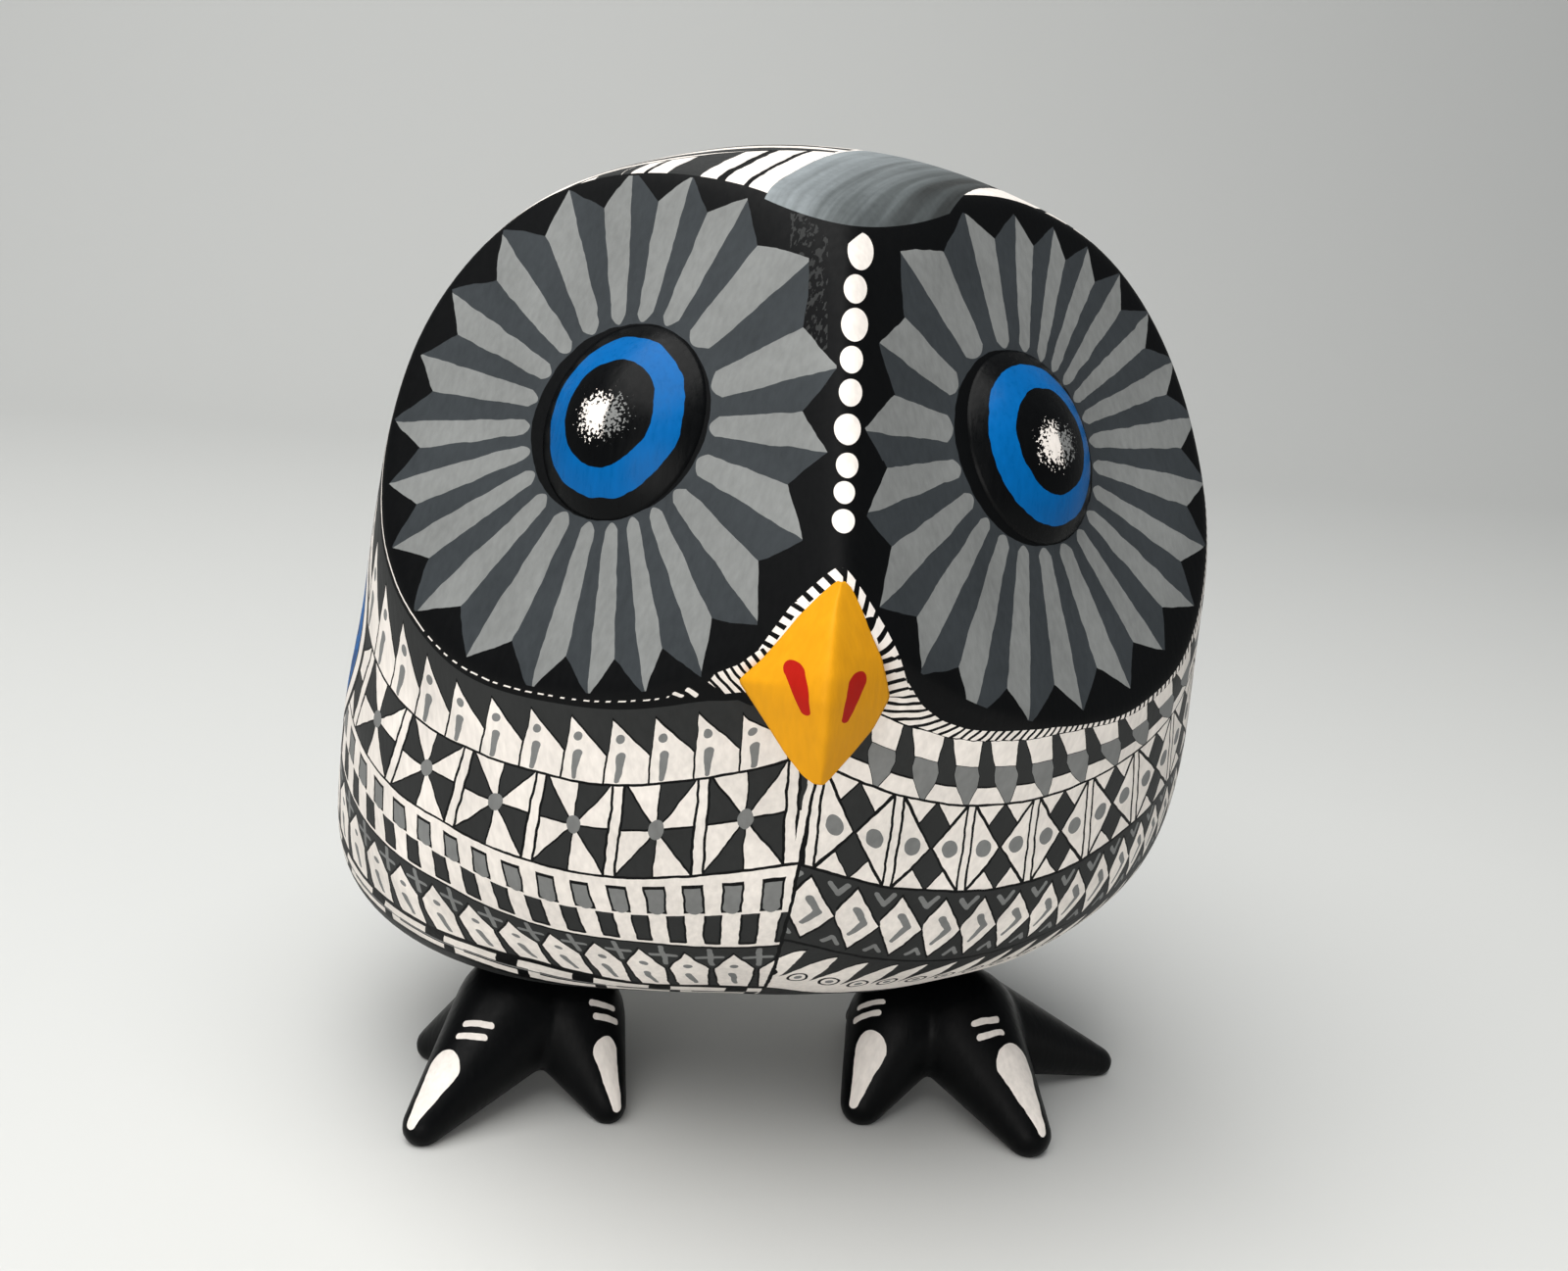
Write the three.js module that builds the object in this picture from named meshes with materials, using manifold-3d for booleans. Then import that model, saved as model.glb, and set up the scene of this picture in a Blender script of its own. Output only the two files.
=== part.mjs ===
// A small owl carved from one block of soft wood, with two flat face discs, domed eyes, a keeled
// beak and toed feet. Millimetres, +Z up. The owl looks along -Y and stands on its soles at z = 0.
//
// The carving is set out from a line on the floor that lies a little behind the toes. The last
// step moves it so that the origin is the middle of its footprint.

import * as THREE from 'three';
import { mergeVertices } from 'three/addons/utils/BufferGeometryUtils.js';
import { ConvexGeometry } from 'three/addons/geometries/ConvexGeometry.js';
import Module from 'manifold-3d';

const { degToRad, lerp } = THREE.MathUtils;

// The rounded block. It leans forward over the feet, and is widest below the middle.
const BLOCK_CENTRE = new THREE.Vector3(0.5, -23.6, 54.5);
const BLOCK_LEAN = degToRad(18.8);
const BLOCK_HALF_WIDTH = 51.4;
const BLOCK_FRONT = 36.2;
const BLOCK_BACK = 48.4;
const BLOCK_UP = 63.2;
const BLOCK_DOWN = 43.5;
const BROW_OVERHANG = 0.132;
const SHOULDER_TAPER = 0.115;
// Powers of the rounded block: 2 is an ellipse, and a higher power is squarer.
const HEAD_POWER = 2.03;
const BELLY_POWER = 3.14;
const DEPTH_POWER = 1.8;
const CROWN_POWER = 5.56;
const NAPE_POWER = 3.2;
const UNDERSIDE_POWER = 2.4;
const RUMP_POWER = 2.3;
// The belly sags towards -X: how far, below what height along the lean, and how gradually.
const SAG = 9.2;
const SAG_HEIGHT = -26.4;
const SAG_SPREAD = 6;
// How gradually head turns into belly, shoulders narrow, the brow grows and front turns into back.
const WAIST_SPREAD = 8;
const TAPER_LENGTH = 40;
const BROW_LENGTH = 30;
const BACK_START = -22;
const BACK_SPREAD = 6;
const BLOCK_FACETS = 15;
// The search for the skin starts from a reach that is outside everywhere.
const SKIN_FAR = 130;
const SKIN_HALVINGS = 36;

// The two flat cuts of the face meet in a ridge at the middle.
const FACE_YAW = degToRad(37);
const FACE_PITCH = degToRad(25.3);
const RIDGE_POINT = new THREE.Vector3(0, -61.8, 95);
const CUT_SIZE = 160;

// The eyes are domes left standing on the flats, placed from the ridge point.
const EYE_OUT = 25;
const EYE_DOWN = 6.3;
const EYE_RADIUS = 10.5;
const EYE_HEIGHT = 3.8;
const EYE_ROOT = 2;
const EYE_RINGS = 6;
const EYE_SEGMENTS = 36;

// The beak: a keel from the ridge to the tip, and an edge on each side.
const BEAK_TOP = new THREE.Vector3(0, -71, 79.2);
const BEAK_CROWN = new THREE.Vector3(-2, -78.9, 70.4);
const BEAK_TIP = new THREE.Vector3(-1.4, -76.6, 60.6);
const BEAK_EDGE = new THREE.Vector3(7.3, -70.8, 68.3);
const BEAK_EDGE_OFFSET = -1.6;
const BEAK_ROOT = new THREE.Vector3(0, -60, 68);
const BEAK_STEPS = 8;
const BEAK_TIP_ROUND = 0.9;

// Each toe runs from a knuckle under the belly to its tip: centre and radius of each.
const TOES = {
  leftOuter: { knuckle: [-29.6, -28.5, 10.4], knuckleRadius: 7.6, tip: [-39.7, -41.6, 1.9], tipRadius: 2.5 },
  leftInner: { knuckle: [-23.6, -28, 9.8], knuckleRadius: 7, tip: [-17.7, -35.8, 1.8], tipRadius: 2.4 },
  leftBack: { knuckle: [-29, -26.5, 10], knuckleRadius: 6.8, tip: [-40.1, -21.4, 1.6], tipRadius: 2.2 },
  leftHind: { knuckle: [-25, -24, 9], knuckleRadius: 6.5, tip: [-19.8, -11, 1.7], tipRadius: 2.3 },
  rightOuter: { knuckle: [27.2, -28.5, 10.4], knuckleRadius: 7.6, tip: [34.4, -41.3, 2.2], tipRadius: 2.9 },
  rightInner: { knuckle: [20.6, -28, 9.8], knuckleRadius: 7, tip: [14.5, -34.6, 2.2], tipRadius: 2.9 },
  rightBack: { knuckle: [28, -26.5, 10], knuckleRadius: 6.8, tip: [48.7, -21.4, 1.5], tipRadius: 2 },
  rightHind: { knuckle: [23, -24, 9], knuckleRadius: 6.5, tip: [17.8, -11, 1.7], tipRadius: 2.3 },
};
const TOE_SEGMENTS = 18;
const TOE_END_RINGS = 4;

const FOOTPRINT_MIDDLE = new THREE.Vector3(-0.4, -27.2, 0);

// Corners of a form closer than this are one corner, and a reach smaller than this is none.
const WELD = 1e-4;
const BALL_WELD = 1e-5;
const NO_REACH = 1e-6;

const wasm = await Module();
wasm.setup();

// One closed solid from a geometry, for cutting and joining.
function solidOf(geometry) {
  const bare = geometry.index ? geometry : geometry.clone();
  bare.deleteAttribute('normal');
  bare.deleteAttribute('uv');
  const merged = mergeVertices(bare, WELD);
  return new wasm.Manifold(new wasm.Mesh({
    numProp: 3,
    vertProperties: new Float32Array(merged.attributes.position.array),
    triVerts: new Uint32Array(merged.index.array),
  }));
}

function geometryOf(solid) {
  const mesh = solid.getMesh();
  const geometry = new THREE.BufferGeometry();
  geometry.setAttribute('position', new THREE.BufferAttribute(mesh.vertProperties, 3));
  geometry.setIndex(new THREE.BufferAttribute(mesh.triVerts, 1));
  geometry.computeVertexNormals();
  return geometry;
}

// 1 well below a limit and 0 well above it, changing over gradually.
function below(value, limit, spread) {
  return 1 / (1 + Math.exp((value - limit) / spread));
}

// How far a point is from the skin of the rounded block: below 1 is inside, and above 1 is outside.
function blockLevel(point) {
  const fromCentre = point.clone().sub(BLOCK_CENTRE);
  const forward = -fromCentre.y * Math.cos(BLOCK_LEAN) - fromCentre.z * Math.sin(BLOCK_LEAN);
  const along = fromCentre.z * Math.cos(BLOCK_LEAN) - fromCentre.y * Math.sin(BLOCK_LEAN);
  const lowness = below(along, 0, WAIST_SPREAD);
  const sideways = fromCentre.x + SAG * below(along, SAG_HEIGHT, SAG_SPREAD);
  const halfWidth = BLOCK_HALF_WIDTH * (1 - SHOULDER_TAPER * Math.tanh(along / TAPER_LENGTH));
  const depth = forward > 0 ? BLOCK_FRONT * (1 + BROW_OVERHANG * Math.tanh(along / BROW_LENGTH)) : BLOCK_BACK;
  const height = along > 0 ? BLOCK_UP : BLOCK_DOWN;
  const behind = below(forward, BACK_START, BACK_SPREAD);
  const heightPower = along > 0
    ? lerp(CROWN_POWER, NAPE_POWER, behind)
    : lerp(UNDERSIDE_POWER, RUMP_POWER, behind);
  return Math.abs(sideways / halfWidth) ** lerp(HEAD_POWER, BELLY_POWER, lowness)
    + Math.abs(forward / depth) ** DEPTH_POWER
    + Math.abs(along / height) ** heightPower;
}

// The point of the skin in one direction from the centre, found by halving.
function skinPoint(direction) {
  let near = 0;
  let far = SKIN_FAR;
  const point = new THREE.Vector3();
  for (let halving = 0; halving < SKIN_HALVINGS; halving += 1) {
    const middle = (near + far) / 2;
    point.copy(BLOCK_CENTRE).addScaledVector(direction, middle);
    if (blockLevel(point) < 1) near = middle;
    else far = middle;
  }
  return point;
}

function roundedBlock() {
  const ball = new THREE.IcosahedronGeometry(1, BLOCK_FACETS);
  ball.deleteAttribute('normal');
  ball.deleteAttribute('uv');
  const geometry = mergeVertices(ball, BALL_WELD);
  const position = geometry.attributes.position;
  for (let index = 0; index < position.count; index += 1) {
    const direction = new THREE.Vector3().fromBufferAttribute(position, index).normalize();
    position.setXYZ(index, ...skinPoint(direction).toArray());
  }
  return solidOf(geometry);
}

// The directions of one face cut: out along the flat, up along the flat, and away from the wood.
function faceAxes(side) {
  const away = new THREE.Vector3(
    side * Math.sin(FACE_YAW) * Math.cos(FACE_PITCH),
    -Math.cos(FACE_YAW) * Math.cos(FACE_PITCH),
    Math.sin(FACE_PITCH),
  );
  const up = new THREE.Vector3(0, 0, 1).addScaledVector(away, -away.z).normalize();
  const out = up.clone().cross(away).multiplyScalar(side).normalize();
  return { out, up, away };
}

function faceCut(side) {
  const { out, up, away } = faceAxes(side);
  const cut = new THREE.BoxGeometry(CUT_SIZE, CUT_SIZE, CUT_SIZE);
  cut.translate(0, 0, CUT_SIZE / 2);
  const right = out.clone().multiplyScalar(side);
  cut.applyMatrix4(new THREE.Matrix4().makeBasis(right, up, away).setPosition(RIDGE_POINT));
  return solidOf(cut);
}

// A dome is part of a ball, turned about the line that leaves the flat.
function eyeDome(side) {
  const { out, up, away } = faceAxes(side);
  const ball = (EYE_RADIUS ** 2 + EYE_HEIGHT ** 2) / (2 * EYE_HEIGHT);
  const spread = Math.asin(EYE_RADIUS / ball);
  const profile = [new THREE.Vector2(0, -EYE_ROOT), new THREE.Vector2(EYE_RADIUS, -EYE_ROOT)];
  for (let ring = 0; ring <= EYE_RINGS; ring += 1) {
    const angle = spread * (1 - ring / EYE_RINGS);
    const reach = ring === EYE_RINGS ? 0 : ball * Math.sin(angle);
    profile.push(new THREE.Vector2(reach, ball * Math.cos(angle) - ball + EYE_HEIGHT));
  }
  const dome = new THREE.LatheGeometry(profile, EYE_SEGMENTS);
  const centre = RIDGE_POINT.clone().addScaledVector(out, EYE_OUT).addScaledVector(up, -EYE_DOWN);
  const across = away.clone().cross(up);
  dome.applyMatrix4(new THREE.Matrix4().makeBasis(up, away, across.negate()).setPosition(centre));
  return solidOf(dome);
}

// The keel bows forward through its crown between the top and the tip, and the tip is rounded off.
function beak() {
  const tipCorner = (side) => new THREE.Vector3(side, 1, 1).multiplyScalar(BEAK_TIP_ROUND).add(BEAK_TIP);
  const keel = new THREE.QuadraticBezierCurve3(
    BEAK_TOP,
    BEAK_CROWN.clone().multiplyScalar(2).addScaledVector(BEAK_TOP, -0.5).addScaledVector(BEAK_TIP, -0.5),
    BEAK_TIP,
  );
  const points = keel.getPoints(BEAK_STEPS);
  for (const side of [-1, 1]) {
    points.push(new THREE.Vector3(side * BEAK_EDGE.x + BEAK_EDGE_OFFSET, BEAK_EDGE.y, BEAK_EDGE.z));
    points.push(tipCorner(side));
  }
  points.push(BEAK_TIP.clone().add(new THREE.Vector3(0, 2 * BEAK_TIP_ROUND, 0)));
  points.push(BEAK_ROOT);
  return solidOf(new ConvexGeometry(points));
}

// A toe narrows from knuckle to tip and is round at both ends.
function toe({ knuckle, knuckleRadius, tip, tipRadius }) {
  const start = new THREE.Vector3(...knuckle);
  const along = new THREE.Vector3(...tip).sub(start);
  const length = along.length();
  const slope = Math.asin((knuckleRadius - tipRadius) / length);
  const profile = [];
  const arc = (radius, height, from, to) => {
    for (let ring = 0; ring <= TOE_END_RINGS; ring += 1) {
      const angle = lerp(from, to, ring / TOE_END_RINGS);
      const reach = Math.abs(Math.cos(angle)) < NO_REACH ? 0 : radius * Math.cos(angle);
      profile.push(new THREE.Vector2(reach, height + radius * Math.sin(angle)));
    }
  };
  arc(knuckleRadius, 0, -Math.PI / 2, slope);
  arc(tipRadius, length, slope, Math.PI / 2);
  const form = new THREE.LatheGeometry(profile, TOE_SEGMENTS);
  const turn = new THREE.Quaternion().setFromUnitVectors(new THREE.Vector3(0, 1, 0), along.normalize());
  form.applyQuaternion(turn);
  form.translate(...start.toArray());
  return solidOf(form);
}

function belowFloor() {
  const slab = new THREE.BoxGeometry(CUT_SIZE, CUT_SIZE, CUT_SIZE);
  slab.translate(0, 0, -CUT_SIZE / 2);
  return solidOf(slab);
}

function carving() {
  let wood = roundedBlock();
  for (const side of [-1, 1]) wood = wood.subtract(faceCut(side));
  for (const side of [-1, 1]) wood = wood.add(eyeDome(side));
  wood = wood.add(beak());
  for (const sizes of Object.values(TOES)) wood = wood.add(toe(sizes));
  return wood.subtract(belowFloor());
}

const paint = new THREE.MeshStandardMaterial({ color: 0xd8d4cc, roughness: 0.55, metalness: 0 });
const owl = new THREE.Mesh(geometryOf(carving()), paint);
owl.name = 'owl';
owl.position.copy(FOOTPRINT_MIDDLE).negate();

const group = new THREE.Group();
group.add(owl);

export default group;
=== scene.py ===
# %% [markdown]
# # A small carved owl, painted by hand
#
# The owl is one piece of soft wood. A rounded block leans forward over two feet, two flat cuts
# make the face, and a dome is left standing on each flat for the eye. Everything else is brushwork:
# petals round the eyes, bands of small geometric figures round the breast, stripes on the crown.
#
# The packed solid gives the true sizes. This file dresses it with a finer skin of the same form,
# cut into a few closed pieces so that each has room for its own paint, and then mixes the paint.

# %% The frame
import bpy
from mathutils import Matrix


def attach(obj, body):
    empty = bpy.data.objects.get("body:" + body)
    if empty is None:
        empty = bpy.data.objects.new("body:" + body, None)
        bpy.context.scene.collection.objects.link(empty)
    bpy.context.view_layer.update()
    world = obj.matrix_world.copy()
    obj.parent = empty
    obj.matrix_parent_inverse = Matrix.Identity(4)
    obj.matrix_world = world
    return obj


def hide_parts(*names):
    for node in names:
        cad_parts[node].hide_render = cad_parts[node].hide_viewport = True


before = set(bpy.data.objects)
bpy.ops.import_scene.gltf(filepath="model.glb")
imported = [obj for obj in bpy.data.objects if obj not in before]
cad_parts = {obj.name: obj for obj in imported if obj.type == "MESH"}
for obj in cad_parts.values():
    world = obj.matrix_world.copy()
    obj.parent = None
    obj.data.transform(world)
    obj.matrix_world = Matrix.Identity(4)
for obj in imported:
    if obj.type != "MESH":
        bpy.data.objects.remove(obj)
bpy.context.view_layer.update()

import math
import bmesh
import bpy
import numpy as np
from mathutils import Matrix

MM = 0.001

# %% [markdown]
# ## The camera
#
# The photograph looks slightly down on the owl, from a little to its left, and leans a few degrees.
# A camera can be placed by hand, but here its angles, its distance and its lens are all known, so
# its axes are worked out from them: where it looks from, then what is up, then the lean.

# %% Camera
AZIMUTH, ELEVATION, ROLL = np.radians([-7.2, 16.0, 5.0])
TARGET = np.array([4.1, 27.2, 53.0])
DISTANCE = 250.0
FRAME_WIDTH = 1600
FOCAL_PIXELS = 1875.0
SENSOR_WIDTH = 36.0

backward = np.array([
    math.sin(AZIMUTH) * math.cos(ELEVATION),
    -math.cos(AZIMUTH) * math.cos(ELEVATION),
    math.sin(ELEVATION),
])
level_right = np.cross(-backward, [0, 0, 1])
level_right /= np.linalg.norm(level_right)
level_up = np.cross(level_right, -backward)
right = math.cos(ROLL) * level_right + math.sin(ROLL) * level_up
up = math.cos(ROLL) * level_up - math.sin(ROLL) * level_right

camera = bpy.data.objects.new("camera", bpy.data.cameras.new("camera"))
bpy.context.scene.collection.objects.link(camera)
bpy.context.scene.camera = camera
camera.data.lens = FOCAL_PIXELS * SENSOR_WIDTH / FRAME_WIDTH
camera.data.sensor_width = SENSOR_WIDTH
camera.matrix_world = Matrix.Translation((TARGET + backward * DISTANCE) * MM) @ Matrix(
    np.stack([right, up, backward], axis=1).tolist()
).to_4x4()
print("lens", round(camera.data.lens, 1), "mm at", np.round(TARGET + backward * DISTANCE, 1).tolist())

# %% [markdown]
# ## The form of the block
#
# A carver squares a block, knocks off the corners and rounds it by eye. The same form can be
# written as one rule: in coordinates that lean with the block, add up how far a point is across,
# forward and along, each as a share of the half size and each raised to a power. The skin is where
# the sum is one. Power 2 is an ellipse and higher powers are squarer, so the brow, the belly and
# the back each get their own power, blended from one to the next.

# %% Sizes of the block
# Millimetres, set out from a line on the floor a little behind the toes.
BLOCK_CENTRE = np.array([0.5, -23.6, 54.5])
BLOCK_LEAN = math.radians(18.8)
HALF_WIDTH, FRONT, BACK, UP, DOWN = 51.4, 36.2, 48.4, 63.2, 43.5
BROW_OVERHANG, SHOULDER_TAPER = 0.132, 0.115
SAG, SAG_HEIGHT, SAG_SPREAD = 9.2, -26.4, 6.0
# Powers: across above and below the middle, then forward, then along in front and behind.
WIDTH_POWERS, DEPTH_POWER = (2.03, 3.14), 1.8
UPPER_POWERS, LOWER_POWERS = (5.56, 3.2), (2.4, 2.3)
MIDDLE_SPREAD, BEHIND_LIMIT, BEHIND_SPREAD = 8.0, -22.0, 6.0
TAPER_REACH, OVERHANG_REACH = 40.0, 30.0
FACE_YAW, FACE_PITCH = math.radians(37.0), math.radians(25.3)
RIDGE_POINT = np.array([0.0, -61.8, 95.0])
FOOTPRINT_MIDDLE = np.array([-0.4, -27.2, 0.0])


def blend(near, far, share):
    """near where share is 0 and far where it is 1."""
    return near + (far - near) * share


def below(value, limit, spread):
    """1 well below a limit and 0 well above it, changing over gradually."""
    return 1 / (1 + np.exp((value - limit) / spread))


def block_level(points):
    """Shares of the half sizes, each raised to its power and added: 1 on the skin, less inside."""
    across, deep, high = np.moveaxis(points - BLOCK_CENTRE, -1, 0)
    forward = -deep * math.cos(BLOCK_LEAN) - high * math.sin(BLOCK_LEAN)
    along = high * math.cos(BLOCK_LEAN) - deep * math.sin(BLOCK_LEAN)
    lowness = below(along, 0, MIDDLE_SPREAD)
    behind = below(forward, BEHIND_LIMIT, BEHIND_SPREAD)
    across = across + SAG * below(along, SAG_HEIGHT, SAG_SPREAD)
    half_width = HALF_WIDTH * (1 - SHOULDER_TAPER * np.tanh(along / TAPER_REACH))
    depth = np.where(forward > 0, FRONT * (1 + BROW_OVERHANG * np.tanh(along / OVERHANG_REACH)), BACK)
    height = np.where(along > 0, UP, DOWN)
    height_power = np.where(along > 0, blend(*UPPER_POWERS, behind), blend(*LOWER_POWERS, behind))
    return (
        np.abs(across / half_width) ** blend(*WIDTH_POWERS, lowness)
        + np.abs(forward / depth) ** DEPTH_POWER
        + np.abs(along / height) ** height_power
    )


def face_axes(side):
    """Unit directions of one flat: out from the ridge, up the flat, and away from the wood."""
    away = np.array([
        side * math.sin(FACE_YAW) * math.cos(FACE_PITCH),
        -math.cos(FACE_YAW) * math.cos(FACE_PITCH),
        math.sin(FACE_PITCH),
    ])
    upward = np.array([0, 0, 1]) - away * away[2]
    upward /= np.linalg.norm(upward)
    outward = np.cross(upward, away) * side
    return outward, upward, away


print("out from the ridge, +X side:", np.round(face_axes(1)[0], 2).tolist())

# %% [markdown]
# ## A skin on a grid
#
# The whole skin is one grid of directions from the middle of the block, like the meridians and
# parallels of a globe whose pole points out of the face. For each direction the distance to the
# block is found by halving, the distance to each flat is a division, and the smallest of the three
# is the skin. A soft smallest, which lets them melt together over about a millimetre, gives the rims
# and the ridge the slightly rounded edge that sanding and paint leave.

# %% Distance to the skin in one direction
MIDDLE_OF_GRID = np.array([0.0, -23.6, 53.8])
POLE_PITCH = math.radians(45)
POLE = np.array([0, -math.cos(POLE_PITCH), math.sin(POLE_PITCH)])
POLE_UP = np.array([0, math.sin(POLE_PITCH), math.cos(POLE_PITCH)])
SIDEWAYS = np.array([1.0, 0, 0])
EDGE_ROUNDING = 0.4
RIDGE_ROUNDING = 1.1
RIDGE_END = np.array([0.05, -0.45, 0.89])
WEAR, WEAR_REACH = 1.6, 0.04
KNIFE_DEPTH = 0.13
HALVINGS = 26
LONGEST = 130.0
LEAST_FACING = 0.05
LEAST_TILT, MOST_TILT = 0.1, 2.2


def direction(turn, tilt):
    """A unit direction, tilt away from the pole and turn round it from straight up."""
    ring = np.sin(turn)[..., None] * SIDEWAYS + np.cos(turn)[..., None] * POLE_UP
    return np.cos(tilt)[..., None] * POLE + np.sin(tilt)[..., None] * ring


def knife_facets(heading):
    """Two crossed pairs of sine waves over the directions, the finer pair weaker."""
    x, y, z = np.moveaxis(heading, -1, 0)
    return np.sin(9 * x + 4 * z) * np.sin(11 * z - 3 * y) + 0.6 * np.sin(17 * y + 7 * x) * np.sin(13 * x)


def block_reach(heading):
    """The distance at which block_level is 1, found by halving, plus faint knife facets."""
    near = np.zeros(heading.shape[:-1])
    far = np.full(heading.shape[:-1], LONGEST)
    for _ in range(HALVINGS):
        middle = (near + far) / 2
        inside = block_level(MIDDLE_OF_GRID + heading * middle[..., None]) < 1
        near = np.where(inside, middle, near)
        far = np.where(inside, far, middle)
    return near + KNIFE_DEPTH * knife_facets(heading)


def flat_reach(heading, side):
    """The distance to one face cut, or far away where the direction never meets it."""
    away = face_axes(side)[2]
    facing = heading @ away
    reach = (RIDGE_POINT - MIDDLE_OF_GRID) @ away / np.maximum(facing, LEAST_FACING)
    return np.where(facing > LEAST_FACING, np.minimum(reach, LONGEST), LONGEST)


def soft_least(first, second, rounding):
    """The smaller of two distances, melting into each other where they are about the same."""
    reaches = np.stack([first, second])
    least = reaches.min(axis=0)
    return least - rounding * np.log(np.exp(-(reaches - least) / rounding).sum(axis=0))


def skin_reach(heading):
    """The flats meet in a blunt ridge, and meet the block in a crisp rim that is worn at its top."""
    face = soft_least(flat_reach(heading, -1), flat_reach(heading, 1), RIDGE_ROUNDING)
    wear = np.exp(-((heading - RIDGE_END) ** 2).sum(axis=-1) / WEAR_REACH)
    return soft_least(face, block_reach(heading), EDGE_ROUNDING + WEAR * wear)


def rim_tilt(turn):
    """The tilt at which the flats end and the block begins, by halving."""
    near = np.full(turn.shape, LEAST_TILT)
    far = np.full(turn.shape, MOST_TILT)
    for _ in range(HALVINGS):
        middle = (near + far) / 2
        heading = direction(turn, middle)
        on_flat = np.minimum(flat_reach(heading, -1), flat_reach(heading, 1)) < block_reach(heading)
        near = np.where(on_flat, middle, near)
        far = np.where(on_flat, far, middle)
    return near


top_tilt = math.degrees(float(rim_tilt(np.zeros(1))[0]))
print("at the top the rim is", round(top_tilt), "degrees from the pole")

# %% [markdown]
# ## Points, normals and paint coordinates
#
# The grid is drawn closer at the ridge and at the rim, where the skin bends most. Its normals are
# worked out from the formula and not from the faces, so the shading stays even across the seams. Two
# lengths are measured on it for the painter: how far a point is below the rim, and how far round the
# breast.

# %% The grid
SIDE_STEPS = 190
FACE_ROWS = 64
SKIN_ROWS = 124
RIDGE_CLOSENESS = 0.85
RIM_CLOSENESS = 1.5
PROBE = 0.002

steps = np.linspace(0, 1, SIDE_STEPS + 1)
half_turn = math.pi * (steps - RIDGE_CLOSENESS * np.sin(2 * math.pi * steps) / (2 * math.pi))
turns = np.concatenate([-half_turn[::-1], half_turn[1:]])
rims = rim_tilt(turns)
face_share = 1 - (1 - np.linspace(0, 1, FACE_ROWS)) ** RIM_CLOSENESS
skin_share = np.linspace(0, 1, SKIN_ROWS)[1:] ** RIM_CLOSENESS
tilts = np.concatenate([
    face_share[:, None] * rims,
    rims + skin_share[:, None] * (math.pi - rims),
])
turn_grid = np.broadcast_to(turns, tilts.shape)


def skin_point(heading):
    """The skin in one direction from the middle."""
    return MIDDLE_OF_GRID + heading * skin_reach(heading)[..., None]


def skin_normal(turn, tilt):
    """The cross product of two short steps over the skin, one round the pole and one away from it."""
    heading = direction(turn, tilt)
    round_pole = np.cos(turn)[..., None] * SIDEWAYS - np.sin(turn)[..., None] * POLE_UP
    ring = np.sin(turn)[..., None] * SIDEWAYS + np.cos(turn)[..., None] * POLE_UP
    from_pole = np.cos(tilt)[..., None] * ring - np.sin(tilt)[..., None] * POLE

    def step(way):
        ends = []
        for sign in (-1, 1):
            moved = heading + sign * PROBE * way
            ends.append(skin_point(moved / np.linalg.norm(moved, axis=-1, keepdims=True)))
        return ends[1] - ends[0]

    normal = np.cross(step(from_pole), step(round_pole))
    normal /= np.linalg.norm(normal, axis=-1, keepdims=True)
    return normal * np.sign((normal * heading).sum(axis=-1, keepdims=True))


points = skin_point(direction(turn_grid, tilts))
normals = skin_normal(turn_grid, tilts)
print("grid", tilts.shape, "height", round(float(np.ptp(points[..., 2])), 1), "mm")

# %% Lengths on the skin
# Millimetres down from the rim, and millimetres round the breast from the seam below the beak. The
# second is measured along a girdle that runs a little way below the rim.
GIRDLE = 25.0
RIM_ROW = FACE_ROWS - 1
fall = np.linalg.norm(np.diff(points, axis=0), axis=-1)
down = np.concatenate([np.zeros((1, len(turns))), np.cumsum(fall, axis=0)])
down -= down[RIM_ROW]
girdle = np.stack([
    [np.interp(GIRDLE, down[:, column], points[:, column, axis]) for axis in range(3)]
    for column in range(len(turns))
])
round_left = np.concatenate([[0], np.cumsum(np.linalg.norm(np.diff(girdle, axis=0), axis=-1))])
around = np.where(turns < 0, -round_left, round_left[-1] - round_left)
around_grid = np.broadcast_to(around, tilts.shape)
print("girth", round(float(round_left[-1]), 1), "mm")

# %% [markdown]
# ## Where the bands run
#
# The painter drew long lines round the breast by eye and filled the strips between them. Each line
# is given here by how far below the rim it runs at a few places. A number stored in a second UV map
# then counts the bands: 0 down to the first line, 1 at the second, 2 at the third, and so on, so that
# a figure painted in a band follows it as it widens and narrows.

# %% Band lines
# Pairs of distance round the breast and distance below the rim, from the black border downwards.
LEFT_LINES = [
    [(-78.5, 1.3), (-60.9, 1.3), (-47.2, 1.7), (-39.3, 1.9), (-31.6, 2.3), (-24.7, 2.7), (-19.8, 3.2),
     (-17.4, 3.7), (-15, 4.5), (-13, 5.1), (-10.8, 6.7), (0, 7.5)],
    [(-65.4, 13.2), (-57.3, 12.5), (-47.4, 12.1), (-36.5, 12.9), (-27.6, 14.2), (-14.5, 15.7), (0, 17.1)],
    [(-70, 26), (-54.9, 24.7), (-44.6, 24.9), (-31.9, 27.3), (-19.3, 30.7), (-10.5, 32.4), (0, 34.4)],
    [(-70, 35.5), (-58, 34.8), (-50.3, 34.8), (-39.7, 35.8), (-31.5, 38.3), (-20.3, 42.5), (-9.5, 46.9),
     (0, 50.6)],
    [(-75, 44), (-56.4, 45.5), (-42.8, 46.4), (-34.5, 47.1), (-26.9, 49.1), (-20.4, 53.1), (-12, 59.7),
     (0, 64.8)],
    [(-75, 50), (-55, 50.5), (-41.4, 52), (-34, 53.6), (-26.9, 57.4), (-20.4, 61.5), (-12, 68), (0, 73)],
]
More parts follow.
